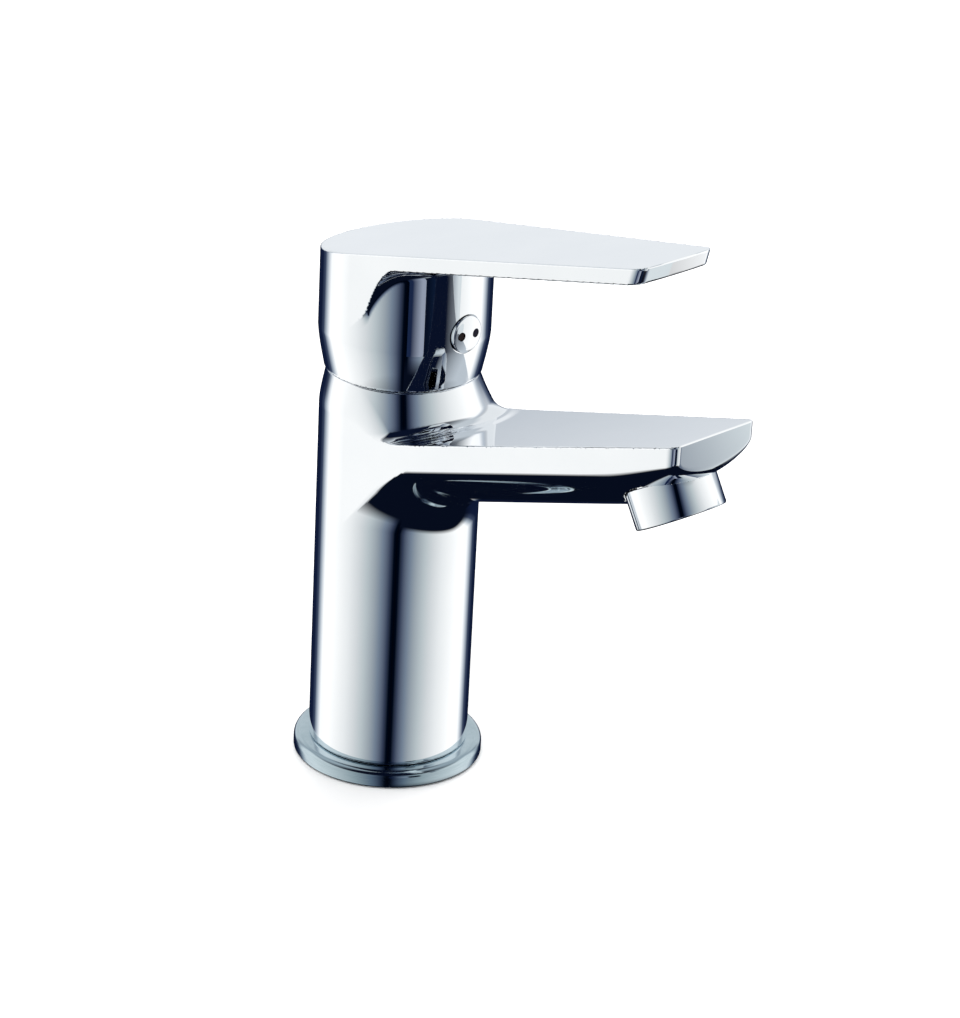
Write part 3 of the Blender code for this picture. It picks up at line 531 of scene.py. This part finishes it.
def rod(start, end, radius, sides=SMALL_SIDES):
    """A bmesh cylinder between two points."""
    start, end = Vector(start), Vector(end)
    axis = end - start
    place = Matrix.Translation(start) @ axis.to_track_quat("Z", "Y").to_matrix().to_4x4()
    return turned_bmesh([(0.0, 0.0), (radius, 0.0), (radius, axis.length), (0.0, axis.length)],
                        sides, place)


def block(low, high):
    bm = bmesh.new()
    bmesh.ops.create_cube(bm, size=1.0)
    size = Vector(high) - Vector(low)
    middle = (Vector(high) + Vector(low)) / 2.0
    bm.transform(Matrix.Translation(middle) @ Matrix.Diagonal((*size, 1.0)))
    return bm


def merged(name, parts):
    """Several separate closed shapes as one object."""
    whole = bmesh.new()
    for part in parts:
        mesh = bpy.data.meshes.new(name)
        part.to_mesh(mesh)
        part.free()
        whole.from_mesh(mesh)
        bpy.data.meshes.remove(mesh)
    return bm_object(name, whole)


def combine(target, tool, operation):
    """Apply a Boolean and drop the tool."""
    modifier = target.modifiers.new("combine", "BOOLEAN")
    modifier.operation = operation
    modifier.solver = "EXACT"
    modifier.object = tool
    bpy.context.view_layer.update()
    evaluated = target.evaluated_get(bpy.context.evaluated_depsgraph_get())
    mesh = bpy.data.meshes.new_from_object(evaluated)
    target.modifiers.clear()
    old = target.data
    target.data = mesh
    bpy.data.meshes.remove(old)
    bpy.data.objects.remove(tool)


def true_normals(obj, field):
    """Shade the cast surface by its field, and machined faces by their own angles."""
    smooth(obj)
    mesh = obj.data
    points = np.empty(len(mesh.vertices) * 3)
    mesh.vertices.foreach_get("co", points)
    points = points.reshape(-1, 3)
    slope = slope_at(field, points)
    slope /= np.maximum(np.linalg.norm(slope, axis=1), TINY)[:, None]
    on_casting = np.abs(field(points)) < ON_SURFACE
    corner_vertex = np.empty(len(mesh.loops), np.int32)
    mesh.loops.foreach_get("vertex_index", corner_vertex)
    face_normals = np.empty(len(mesh.polygons) * 3, np.float32)
    mesh.polygons.foreach_get("normal", face_normals)
    sizes = np.empty(len(mesh.polygons), np.int32)
    mesh.polygons.foreach_get("loop_total", sizes)
    face_of_corner = np.repeat(face_normals.reshape(-1, 3), sizes, axis=0)
    normals = np.array([n.vector for n in mesh.corner_normals], float).reshape(-1, 3)
    wanted = slope[corner_vertex]
    cast_corner = on_casting[corner_vertex] & ((wanted * face_of_corner).sum(axis=1) > FACING)
    normals[cast_corner] = wanted[cast_corner]
    mesh.normals_split_custom_set([tuple(n) for n in normals])


def arc(centre, radius, first, last, steps):
    points = []
    for index in range(steps + 1):
        angle = math.radians(first + (last - first) * index / steps)
        points.append((centre[0] + radius * math.cos(angle), centre[1] + radius * math.sin(angle)))
    return points


# ---------------------------------------------------------------- materials

class Wiring:
    """Short ways to wire the nodes of one tree."""

    def __init__(self, tree):
        self.tree = tree

    def feed(self, socket, value):
        """Link an output, or set a number or a colour."""
        if isinstance(value, bpy.types.NodeSocket):
            self.tree.links.new(value, socket)
        elif isinstance(value, tuple):
            socket.default_value = (*value, 1.0)
        else:
            socket.default_value = value

    def maths(self, operation, a, b=0.0):
        node = self.tree.nodes.new("ShaderNodeMath")
        node.operation = operation
        self.feed(node.inputs[0], a)
        self.feed(node.inputs[1], b)
        return node.outputs["Value"]

    def ramp(self, value, stops):
        """Colour by value; stops are (position, colour)."""
        node = self.tree.nodes.new("ShaderNodeValToRGB")
        elements = node.color_ramp.elements
        while len(elements) < len(stops):
            elements.new(1.0)
        for element, (position, colour) in zip(elements, stops):
            element.position = position
            element.color = (*colour, 1.0)
        self.feed(node.inputs["Fac"], value)
        return node.outputs["Color"]

    def mix(self, share, a, b):
        """Colour a where the share is 0, b where it is 1."""
        node = self.tree.nodes.new("ShaderNodeMix")
        node.data_type = "RGBA"
        colours = [socket for socket in node.inputs if socket.type == "RGBA"]
        self.feed(node.inputs["Factor"], share)
        self.feed(colours[0], a)
        self.feed(colours[1], b)
        return [socket for socket in node.outputs if socket.type == "RGBA"][0]

    def split(self, vector):
        node = self.tree.nodes.new("ShaderNodeSeparateXYZ")
        self.feed(node.inputs["Vector"], vector)
        return node.outputs


class Finish(Wiring):
    """A Principled material."""

    def __init__(self, name, colour, roughness, metallic=0.0):
        self.material = bpy.data.materials.new(name)
        self.material.use_nodes = True
        super().__init__(self.material.node_tree)
        self.shader = self.tree.nodes["Principled BSDF"]
        self.shader.inputs["Base Color"].default_value = (*colour, 1.0)
        self.shader.inputs["Roughness"].default_value = roughness
        self.shader.inputs["Metallic"].default_value = metallic
        self.coordinates = self.tree.nodes.new("ShaderNodeTexCoord").outputs["Object"]

    def scaled(self, scale):
        """Object coordinates in metres, stretched by a scale per axis."""
        mapping = self.tree.nodes.new("ShaderNodeMapping")
        mapping.inputs["Scale"].default_value = scale
        self.tree.links.new(self.coordinates, mapping.inputs["Vector"])
        return mapping.outputs["Vector"]

    def noise(self, scale, detail=3.0, sharpness=0.5, stretch=(1.0, 1.0, 1.0)):
        node = self.tree.nodes.new("ShaderNodeTexNoise")
        node.inputs["Scale"].default_value = scale
        node.inputs["Detail"].default_value = detail
        node.inputs["Roughness"].default_value = sharpness
        self.tree.links.new(self.scaled(stretch), node.inputs["Vector"])
        return node.outputs["Fac"]

    def spread(self, value, low, high, from_low=0.0, from_high=1.0):
        """Map a value onto another range, clamped."""
        node = self.tree.nodes.new("ShaderNodeMapRange")
        node.inputs["From Min"].default_value = from_low
        node.inputs["From Max"].default_value = from_high
        node.inputs["To Min"].default_value = low
        node.inputs["To Max"].default_value = high
        self.tree.links.new(value, node.inputs["Value"])
        return node.outputs["Result"]

    def drive(self, socket, value):
        self.tree.links.new(value, self.shader.inputs[socket])

    def bump(self, height, distance, strength=1.0):
        node = self.tree.nodes.new("ShaderNodeBump")
        node.inputs["Distance"].default_value = distance
        node.inputs["Strength"].default_value = strength
        self.tree.links.new(height, node.inputs["Height"])
        self.drive("Normal", node.outputs["Normal"])


def polished_chrome():
    """Bright plate: faint cloudiness, water marks and hairline scratches."""
    finish = Finish("polished_chrome", (0.93, 0.95, 0.97), 0.03, 1.0)
    cloud = finish.noise(38.0, 4.0, 0.55)
    finish.drive("Base Color", finish.ramp(cloud, ((0.3, (0.91, 0.93, 0.955)), (0.7, (0.95, 0.965, 0.985)))))
    smear = finish.spread(finish.noise(95.0, 5.0, 0.6), 0.012, 0.055, 0.35, 0.75)
    marks = finish.spread(finish.noise(900.0, 2.0, 0.5), 0.0, 0.03, 0.66, 0.78)
    finish.drive("Roughness", finish.maths("ADD", smear, marks))
    hairlines = finish.noise(260.0, 3.0, 0.6, (1.0, 1.0, 14.0))
    finish.bump(hairlines, 0.0006 * MM)
    return finish.material


def satin_chrome():
    """Satin plate with fine turning marks round the ring."""
    finish = Finish("satin_chrome", (0.46, 0.55, 0.60), 0.1, 1.0)
    marks = finish.noise(120.0, 3.0, 0.7, (1.0, 1.0, 60.0))
    finish.drive("Base Color", finish.ramp(marks, ((0.3, (0.43, 0.53, 0.58)), (0.7, (0.54, 0.64, 0.69)))))
    finish.drive("Roughness", finish.spread(marks, 0.07, 0.14, 0.3, 0.7))
    finish.bump(marks, 0.004 * MM)
    return finish.material


def machined(name, dark, light, roughness, grain=300.0):
    """Turned metal: rings of tool marks across the piece's height."""
    finish = Finish(name, light, roughness, 1.0)
    marks = finish.noise(grain, 2.0, 0.6, (0.15, 0.15, 6.0))
    finish.drive("Base Color", finish.ramp(marks, ((0.3, dark), (0.7, light))))
    finish.drive("Roughness", finish.spread(marks, roughness - 0.08, roughness + 0.1, 0.3, 0.7))
    finish.bump(marks, 0.01 * MM)
    return finish.material


def moulded(name, dark, light, roughness, grain=900.0):
    """Plastic, rubber or ceramic: slight colour drift over a fine skin."""
    finish = Finish(name, light, roughness)
    drift = finish.noise(60.0, 4.0, 0.5)
    finish.drive("Base Color", finish.ramp(drift, ((0.3, dark), (0.7, light))))
    skin = finish.noise(grain, 3.0, 0.6)
    finish.drive("Roughness", finish.spread(skin, roughness - 0.07, roughness + 0.07, 0.3, 0.7))
    finish.bump(skin, 0.01 * MM)
    return finish.material


def enamel(name, dark, light):
    """Paint in a small recess."""
    finish = Finish(name, light, 0.4)
    finish.shader.inputs["Specular IOR Level"].default_value = 0.12
    drift = finish.noise(700.0, 3.0, 0.5)
    finish.drive("Base Color", finish.ramp(drift, ((0.3, dark), (0.7, light))))
    finish.drive("Roughness", finish.spread(drift, 0.34, 0.5, 0.3, 0.7))
    finish.bump(drift, 0.01 * MM)
    return finish.material


# ---------------------------------------------------------------- pieces

def aerator_place():
    return Matrix.Translation(AERATOR_OUTLET) @ Matrix.Rotation(-AERATOR_TILT, 4, "X")


def along_aerator(depth):
    up = Vector((0.0, math.sin(AERATOR_TILT), math.cos(AERATOR_TILT)))
    return AERATOR_OUTLET + up * depth


def make_body(chrome):
    body = cast("body_casting", body_field, (-BODY_RADIUS, -SPOUT_LENGTH, BODY_FOOT),
                (BODY_RADIUS, BODY_RADIUS, SPOUT_TOP + math.tan(SPOUT_SLOPE) * SPOUT_LENGTH))
    over = 2.0 * OVERCUT
    hollows = [turned_bmesh([(0.0, POCKET_FLOOR), (POCKET_RADIUS, POCKET_FLOOR),
                             (POCKET_RADIUS, BODY_TOP + over), (0.0, BODY_TOP + over)]),
               rod((0.0, STUD_Y, BODY_FOOT - over), (0.0, STUD_Y, STUD_TOP), STUD_RADIUS),
               rod(along_aerator(COLLAR_LENGTH - over), along_aerator(SOCKET_DEPTH), SOCKET_RADIUS,
                   BORE_SIDES)]
    for side in (-1.0, 1.0):
        stepped = [(0.0, BODY_FOOT - over), (HOSE_BORE, BODY_FOOT - over), (HOSE_BORE, HOSE_BORE_TOP),
                   (PORT_RADIUS, HOSE_BORE_TOP), (PORT_RADIUS, PORT_TOP), (0.0, PORT_TOP)]
        hollows.append(turned_bmesh(stepped, BORE_SIDES, Matrix.Translation((side * PORT_X, 0.0, 0.0))))
    combine(body, merged("hollows", hollows), "DIFFERENCE")
    ways = [rod((side * PORT_X, 0.0, PORT_TOP - over),
                (side * INLET.x, INLET.y, POCKET_FLOOR + OVERCUT), WATERWAY) for side in (-1.0, 1.0)]
    ways.append(rod(CHANNEL_START, CHANNEL_END, CHANNEL_RADIUS))
    combine(body, merged("waterways", ways), "DIFFERENCE")
    spigot = turned_bmesh([(0.0, GASKET_TOP + GAP), (RING_BORE - GAP, GASKET_TOP + GAP),
                           (RING_BORE - GAP, BODY_FOOT + OVERCUT), (0.0, BODY_FOOT + OVERCUT)])
    spigot_obj = bm_object("spigot", spigot)
    openings = [rod((side * PORT_X, 0.0, 0.0), (side * PORT_X, 0.0, STUD_TOP), HOSE_BORE, BORE_SIDES)
                for side in (-1.0, 1.0)]
    openings.append(rod((0.0, STUD_Y, 0.0), (0.0, STUD_Y, STUD_TOP), STUD_RADIUS))
    combine(spigot_obj, merged("spigot_holes", openings), "DIFFERENCE")
    combine(body, spigot_obj, "UNION")
    body.data.materials.append(chrome)
    true_normals(body, body_field)
    return body


def handle_top(y):
    return HANDLE_TOP - math.tan(HANDLE_SLOPE) * y


def slanted(outline, flat_height, offset, sides=SIDES):
    """A turned shape whose top ring lies parallel to the handle's top face."""
    bm = turned_bmesh(outline, sides)
    for vertex in bm.verts:
        if vertex.co.z > flat_height - ON_AXIS:
            vertex.co.z = handle_top(vertex.co.y) + offset
    return bm


def forwards_at(height):
    """Turns a shape made about Z to point along -Y, at a height on the handle."""
    return Matrix.Translation((0.0, 0.0, height)) @ Matrix.Rotation(math.pi / 2.0, 4, "X")


def make_handle(chrome):
    handle = cast("handle_casting", handle_field, (-HANDLE_RADIUS, -PLATE_LENGTH, HANDLE_BOTTOM),
                  (HANDLE_RADIUS, HANDLE_RADIUS, handle_top(-PLATE_LENGTH)))
    over = 2.0 * OVERCUT
    flat = HANDLE_TOP + HANDLE_RADIUS
    outline = [(0.0, HANDLE_BOTTOM - over), (LIP_BORE, HANDLE_BOTTOM - over), (LIP_BORE, HANDLE_BOTTOM),
               (HANDLE_EDGE_BORE, HANDLE_EDGE_TOP), (HANDLE_BORE, HANDLE_SHOULDER), (HANDLE_BORE, flat),
               (0.0, flat)]
    cavity = bm_object("cavity", slanted(outline, flat, -ROOF))
    boss = bm_object("boss", slanted([(0.0, BOSS_BOTTOM), (BOSS_RADIUS, BOSS_BOTTOM), (BOSS_RADIUS, flat),
                                      (0.0, flat)], flat, -ROOF / 2.0, BORE_SIDES))
    combine(cavity, boss, "DIFFERENCE")
    combine(handle, cavity, "DIFFERENCE")
    low = (-STEM_SOCKET.x, -STEM_SOCKET.y, BOSS_BOTTOM - over)
    screw_hole = [(0.0, STEM_SOCKET.y - over), (SCREW_HOLE, STEM_SOCKET.y - over),
                  (SCREW_HOLE, KEY_HOLE_START), (KEY_HOLE, KEY_HOLE_START),
                  (KEY_HOLE, PLUG_SEAT), (PLUG_RADIUS + GAP, PLUG_SEAT),
                  (PLUG_RADIUS + GAP, HANDLE_RADIUS + over), (0.0, HANDLE_RADIUS + over)]
    combine(handle, bm_object("socket", block(low, STEM_SOCKET)), "DIFFERENCE")
    screw_hole = turned_bmesh(screw_hole, BORE_SIDES, forwards_at(SCREW_HEIGHT))
    combine(handle, bm_object("screw_hole", screw_hole), "DIFFERENCE")
    handle.data.materials.append(chrome)
    true_normals(handle, handle_field)
    return handle


def make_base(satin, rubber):
    """Base ring and the rubber gasket it sits over."""
    recess = GASKET_RADIUS + GAP
    groove_inner = RING_BORE + GROOVE_LAND
    groove_outer = groove_inner + GROOVE_WIDTH
    groove_floor = RING_TOP - GROOVE_DEPTH
    outline = [(RING_BORE, GASKET_TOP + GAP), (recess, GASKET_TOP + GAP), (recess, RING_BOTTOM)]
    outline += arc((RING_RADIUS - RING_CHAMFER, RING_BOTTOM + RING_CHAMFER), RING_CHAMFER, -90.0, 0.0, 4)
    outline += arc((RING_RADIUS - RING_EDGE, RING_TOP - RING_EDGE), RING_EDGE, 0.0, 90.0, 10)
    outline += [(groove_outer, RING_TOP), (groove_outer, groove_floor), (groove_inner, groove_floor),
                (groove_inner, RING_TOP), (RING_BORE, RING_TOP)]
    ring = turned("base_ring_turned", outline, satin)
    gasket = bm_object("deck_gasket_moulded", turned_bmesh(
        [(0.0, 0.0), (GASKET_RADIUS - GASKET_EDGE, 0.0), (GASKET_RADIUS, GASKET_EDGE),
         (GASKET_RADIUS, GASKET_TOP - GASKET_EDGE), (GASKET_RADIUS - GASKET_EDGE, GASKET_TOP),
         (0.0, GASKET_TOP)]))
    high = GASKET_TOP + OVERCUT
    holes = [rod((side * PORT_X, 0.0, -OVERCUT), (side * PORT_X, 0.0, high), HOSE_HOLE, BORE_SIDES)
             for side in (-1.0, 1.0)]
    holes.append(rod((0.0, STUD_Y, -OVERCUT), (0.0, STUD_Y, high), STUD_HOLE))
    combine(gasket, merged("gasket_holes", holes), "DIFFERENCE")
    gasket.data.materials.append(rubber)
    smooth(gasket)
    return ring, gasket


def make_collar(chrome):
    outline = [(COLLAR_LIP, MOUTH_DEPTH), (COLLAR_LIP + MOUTH_WIDTH, 0.0)]
    outline += arc((COLLAR_RADIUS - COLLAR_EDGE, COLLAR_EDGE), COLLAR_EDGE, -90.0, 0.0, 5)
    outline += arc((COLLAR_RADIUS - COLLAR_TOP_EDGE, COLLAR_LENGTH - COLLAR_TOP_EDGE), COLLAR_TOP_EDGE,
                   0.0, 90.0, 4)
    outline += [(THREAD_RADIUS, COLLAR_LENGTH), (THREAD_RADIUS, THREAD_END), (COLLAR_BORE, THREAD_END),
                (COLLAR_BORE, INSERT_START - GAP), (COLLAR_LIP, INSERT_START - GAP)]
    return turned("aerator_collar_turned", outline, chrome, SIDES, aerator_place())


def make_dome(chrome):
    base = JOINT - PIVOT
    outer_low = math.degrees(math.asin(base / DOME_OUTER))
    inner_low = math.degrees(math.asin(base / DOME_INNER))
    mouth = math.degrees(math.acos(DOME_MOUTH / DOME_OUTER))
    outline = arc((0.0, PIVOT), DOME_OUTER, outer_low, mouth, 10)
    outline += arc((0.0, PIVOT), DOME_INNER, mouth, inner_low, 10)
    return turned("bonnet_dome_turned", outline, chrome)


def make_index(chrome, hot, cold):
    """The domed plug over the handle's screw, and its two dots."""
    rise = PLUG_APEX - PLUG_RIM
    sphere = (PLUG_RADIUS ** 2 + rise ** 2) / (2.0 * rise)
    rim_angle = math.degrees(math.asin((sphere - rise) / sphere))
    seat = PLUG_SEAT + GAP
    inner_end = seat - PLUG_LENGTH
    outline = [(0.0, inner_end), (PLUG_SPIGOT, inner_end), (PLUG_SPIGOT, seat), (PLUG_RADIUS, seat)]
    outline += arc((PLUG_RADIUS - PLUG_EDGE, PLUG_RIM - PLUG_EDGE_DROP), PLUG_EDGE, 0.0, PLUG_EDGE_TURN, 5)
    outline += arc((0.0, PLUG_APEX - sphere), sphere, rim_angle + PLUG_DOME_START, 90.0, 12)
    plug = bm_object("index_plug_turned", turned_bmesh(outline, PLUG_SIDES, forwards_at(SCREW_HEIGHT)))
    holes = [rod((x, -DOT_FACE + DOT_DEPTH, SCREW_HEIGHT), (x, -PLUG_APEX - OVERCUT, SCREW_HEIGHT),
                 DOT_RADIUS + DOT_CLEARANCE) for x in (-DOT_X, DOT_X)]
    combine(plug, merged("dot_holes", holes), "DIFFERENCE")
    plug.data.materials.append(chrome)
    smooth(plug)
    pieces = [plug]
    length = DOT_DEPTH - GAP
    dot = [(0.0, 0.0), (DOT_RADIUS, 0.0), (DOT_RADIUS, length - DOT_EDGE), (DOT_RADIUS - DOT_EDGE, length),
           (0.0, length)]
    for label, paint, x in (("hot", hot, -DOT_X), ("cold", cold, DOT_X)):
        place = Matrix.Translation((x, -DOT_FACE + length, 0.0)) @ forwards_at(SCREW_HEIGHT)
        pieces.append(turned(f"index_dot_{label}_enamel", dot, paint, SMALL_SIDES, place))
    return pieces


# ---------------------------------------------------------------- studio

def make_camera():
    data = bpy.data.cameras.new("camera")
    data.sensor_width = CAMERA_SENSOR
    data.lens = CAMERA_LENS
    data.clip_start = CLIP_START
    camera = bpy.data.objects.new("camera", data)
    turn = Matrix((CAMERA_RIGHT, CAMERA_UP, CAMERA_BACK)).transposed().to_4x4()
    camera.matrix_world = Matrix.Translation(CAMERA_PLACE) @ turn
    bpy.context.scene.collection.objects.link(camera)
    bpy.context.scene.camera = camera


def make_floor():
    finish = Finish("floor", (0.92, 0.92, 0.92), 0.6)
    grain = finish.noise(30.0, 4.0)
    finish.drive("Base Color", finish.ramp(grain, ((0.3, (0.90, 0.90, 0.90)), (0.7, (0.93, 0.93, 0.93)))))
    corners = [(x * FLOOR_REACH, y * FLOOR_REACH, 0.0) for x, y in ((-1, -1), (1, -1), (1, 1), (-1, 1))]
    floor = add_mesh("floor", corners, [(0, 1, 2, 3)], finish.material)
    floor.visible_glossy = False


def make_tent():
    """Surroundings of a light tent: white at the sides, dark towards the lens and low behind."""
    world = bpy.data.worlds.new("tent")
    bpy.context.scene.world = world
    world.use_nodes = True
    wiring = Wiring(world.node_tree)
    maths = wiring.maths
    x, y, z = wiring.split(wiring.tree.nodes.new("ShaderNodeTexCoord").outputs["Generated"])
    ahead = maths("ADD", maths("MULTIPLY", x, TENT_FRONT[0]), maths("MULTIPLY", y, TENT_FRONT[1]))
    turn = maths("SUBTRACT", maths("MULTIPLY", y, TENT_FRONT[0]), maths("MULTIPLY", x, TENT_FRONT[1]))
    level = maths("SQRT", maths("ADD", maths("MULTIPLY", x, x), maths("MULTIPLY", y, y)))
    toward = maths("DIVIDE", ahead, maths("MAXIMUM", level, STEEPEST))
    around = maths("DIVIDE", maths("ARCCOSINE", toward), math.pi)
    elevation = maths("DIVIDE", maths("ARCSINE", z), math.pi)

    def across(angle, limits):
        """0 up to the first limit, 1 from the second one."""
        low, high = (limit / 180.0 for limit in limits)
        share = maths("DIVIDE", maths("SUBTRACT", angle, low), high - low)
        return maths("MINIMUM", maths("MAXIMUM", share, 0.0), 1.0)

    sides = wiring.ramp(around, TENT_SIDES)
    back = wiring.ramp(across(elevation, BACK_SHADING), TENT_BACK)
    roof = wiring.ramp(across(around, ROOF_SHADING), TENT_ROOF)
    at_back = maths("MULTIPLY", across(around, BACK_FROM), across(elevation, BACK_FOOT))
    colour = wiring.mix(at_back, sides, back)
    colour = wiring.mix(across(elevation, ROOF_FROM), colour, roof)
    right = maths("GREATER_THAN", turn, 0.0)
    low = maths("SUBTRACT", 1.0, across(elevation, LOW_DARK))
    dark = maths("MULTIPLY", low, maths("MAXIMUM", right, across(around, LOW_DARK_FROM)))
    dark = maths("MAXIMUM", dark, maths("SUBTRACT", 1.0, across(elevation, LOWEST_DARK)))
    colour = wiring.mix(dark, colour, TENT_DARK)
    path = wiring.tree.nodes.new("ShaderNodeLightPath")
    plain = maths("MAXIMUM", path.outputs["Is Camera Ray"], path.outputs["Is Diffuse Ray"])
    background = wiring.tree.nodes["Background"]
    wiring.feed(background.inputs["Color"], wiring.mix(plain, colour, PLAIN_WHITE))
    background.inputs["Strength"].default_value = 1.0


def make_card(name, centre, facing, width, height, left, right):
    """A studio card that only reflections see, shaded from one colour to another along X."""
    finish = Finish(name, (0.0, 0.0, 0.0), 1.0)
    start = centre[0] - width / 2.0
    share = finish.spread(finish.split(finish.coordinates)["X"], 0.0, 1.0, start, start + width)
    finish.drive("Emission Color", finish.ramp(share, ((0.25, left), (0.75, right))))
    finish.shader.inputs["Emission Strength"].default_value = 1.0
    finish.shader.inputs["Specular IOR Level"].default_value = 0.0
    turn = Vector(facing).to_track_quat("Z", "Y").to_matrix().to_4x4()
    stand = Matrix.Translation(Vector(centre)) @ turn
    corners = [(-width / 2.0, -height / 2.0, 0.0), (width / 2.0, -height / 2.0, 0.0),
               (width / 2.0, height / 2.0, 0.0), (-width / 2.0, height / 2.0, 0.0)]
    card = add_mesh(name, [stand @ Vector(corner) for corner in corners], [(0, 1, 2, 3)], finish.material)
    card.visible_camera = False
    card.visible_diffuse = False
    card.visible_shadow = False


def make_flag(name, angles, left, right):
    """A dark flag out from the axis, between two angles counted from +X."""
    first, last = angles
    middle = math.radians((first + last) / 2.0)
    out = Vector((math.cos(middle), math.sin(middle), 0.0))
    width = 2.0 * FLAG_DISTANCE * math.tan(math.radians((last - first) / 2.0))
    centre = out * FLAG_DISTANCE + Vector((0.0, 0.0, (FLAG_LOW + FLAG_HIGH) / 2.0))
    make_card(name, centre, -out, width, FLAG_HIGH - FLAG_LOW, left, right)


def make_lamp(name, place):
    data = bpy.data.lights.new(name, "AREA")
    data.size = LAMP_SIZE
    data.energy = LAMP_POWER
    lamp = bpy.data.objects.new(name, data)
    lamp.location = place
    lamp.rotation_mode = "QUATERNION"
    lamp.rotation_quaternion = (Vector(LAMP_TARGET) - Vector(place)).to_track_quat("-Z", "Y")
    lamp.visible_glossy = False
    lamp.visible_camera = False
    bpy.context.scene.collection.objects.link(lamp)


def dress(frame, names, material):
    """Give CAD nodes that keep their own shape a finished material."""
    for name in names:
        slots = frame["nodes"][name].data.materials
        if len(slots) == 0:
            slots.append(material)
        for index in range(len(slots)):
            slots[index] = material


def place(piece, body, slot, *nodes):
    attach(piece, body)
    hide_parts(*nodes)


def main():
    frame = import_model()
    make_camera()
    make_floor()
    make_tent()
    make_lamp("key", (-0.9, -0.4, 1.3))
    make_lamp("fill", (0.9, 0.5, 1.2))
    make_flag("flag_near", FLAG_NEAR, (0.01, 0.02, 0.06), (0.30, 0.34, 0.43))
    make_flag("flag_far", FLAG_FAR, (0.002, 0.005, 0.016), (0.004, 0.010, 0.030))
    make_card("tip_card", CARD_PLACE, CARD_FACING, CARD_SIZE, CARD_SIZE,
              (0.12, 0.15, 0.21), (0.70, 0.76, 0.78))
    bpy.context.scene.view_settings.view_transform = "Standard"

    chrome = polished_chrome()
    satin = satin_chrome()
    brass = machined("machined_brass", (0.60, 0.44, 0.20), (0.74, 0.57, 0.29), 0.3)
    steel = machined("machined_steel", (0.52, 0.52, 0.53), (0.66, 0.66, 0.67), 0.3)
    rubber = moulded("black_rubber", (0.012, 0.012, 0.013), (0.025, 0.025, 0.026), 0.7)
    grey_plastic = moulded("grey_plastic", (0.36, 0.37, 0.38), (0.44, 0.45, 0.46), 0.45)
    white_plastic = moulded("white_plastic", (0.74, 0.74, 0.71), (0.82, 0.82, 0.80), 0.38)
    ceramic = moulded("lapped_ceramic", (0.82, 0.81, 0.75), (0.88, 0.87, 0.83), 0.16, 2500.0)
    hot = enamel("hot_enamel", (0.004, 0.001, 0.001), (0.010, 0.002, 0.002))
    cold = enamel("cold_enamel", (0.002, 0.002, 0.010), (0.004, 0.004, 0.022))

    place(make_body(chrome), "fixed", "chrome", "body")
    place(make_handle(chrome), "lever", "chrome", "handle")
    ring, gasket = make_base(satin, rubber)
    place(ring, "fixed", "satin_chrome", "base_ring")
    place(gasket, "fixed", "black_rubber", "deck_gasket")
    place(make_collar(chrome), "fixed", "chrome", "aerator_collar")
    place(make_dome(chrome), "fixed", "chrome", "bonnet_dome")
    plug, hot_dot, cold_dot = make_index(chrome, hot, cold)
    place(plug, "lever", "chrome", "index_plug")
    place(hot_dot, "lever", "hot_enamel", "index_dot_hot")
    place(cold_dot, "lever", "cold_enamel", "index_dot_cold")

    dress(frame, ("ring_seal", "inlet_seal_hot", "inlet_seal_cold"), rubber)
    dress(frame, ("housing_seal", "aerator_washer"), rubber)
    dress(frame, ("aerator_insert", "rotor", "disc_carrier"), white_plastic)
    dress(frame, ("cartridge_base", "cartridge_housing"), grey_plastic)
    dress(frame, ("fixed_disc", "moving_disc"), ceramic)
    dress(frame, ("retaining_nut", "stem"), brass)
    dress(frame, ("aerator_screen", "pivot_pin", "handle_screw"), steel)

    bpy.context.view_layer.update()


main()
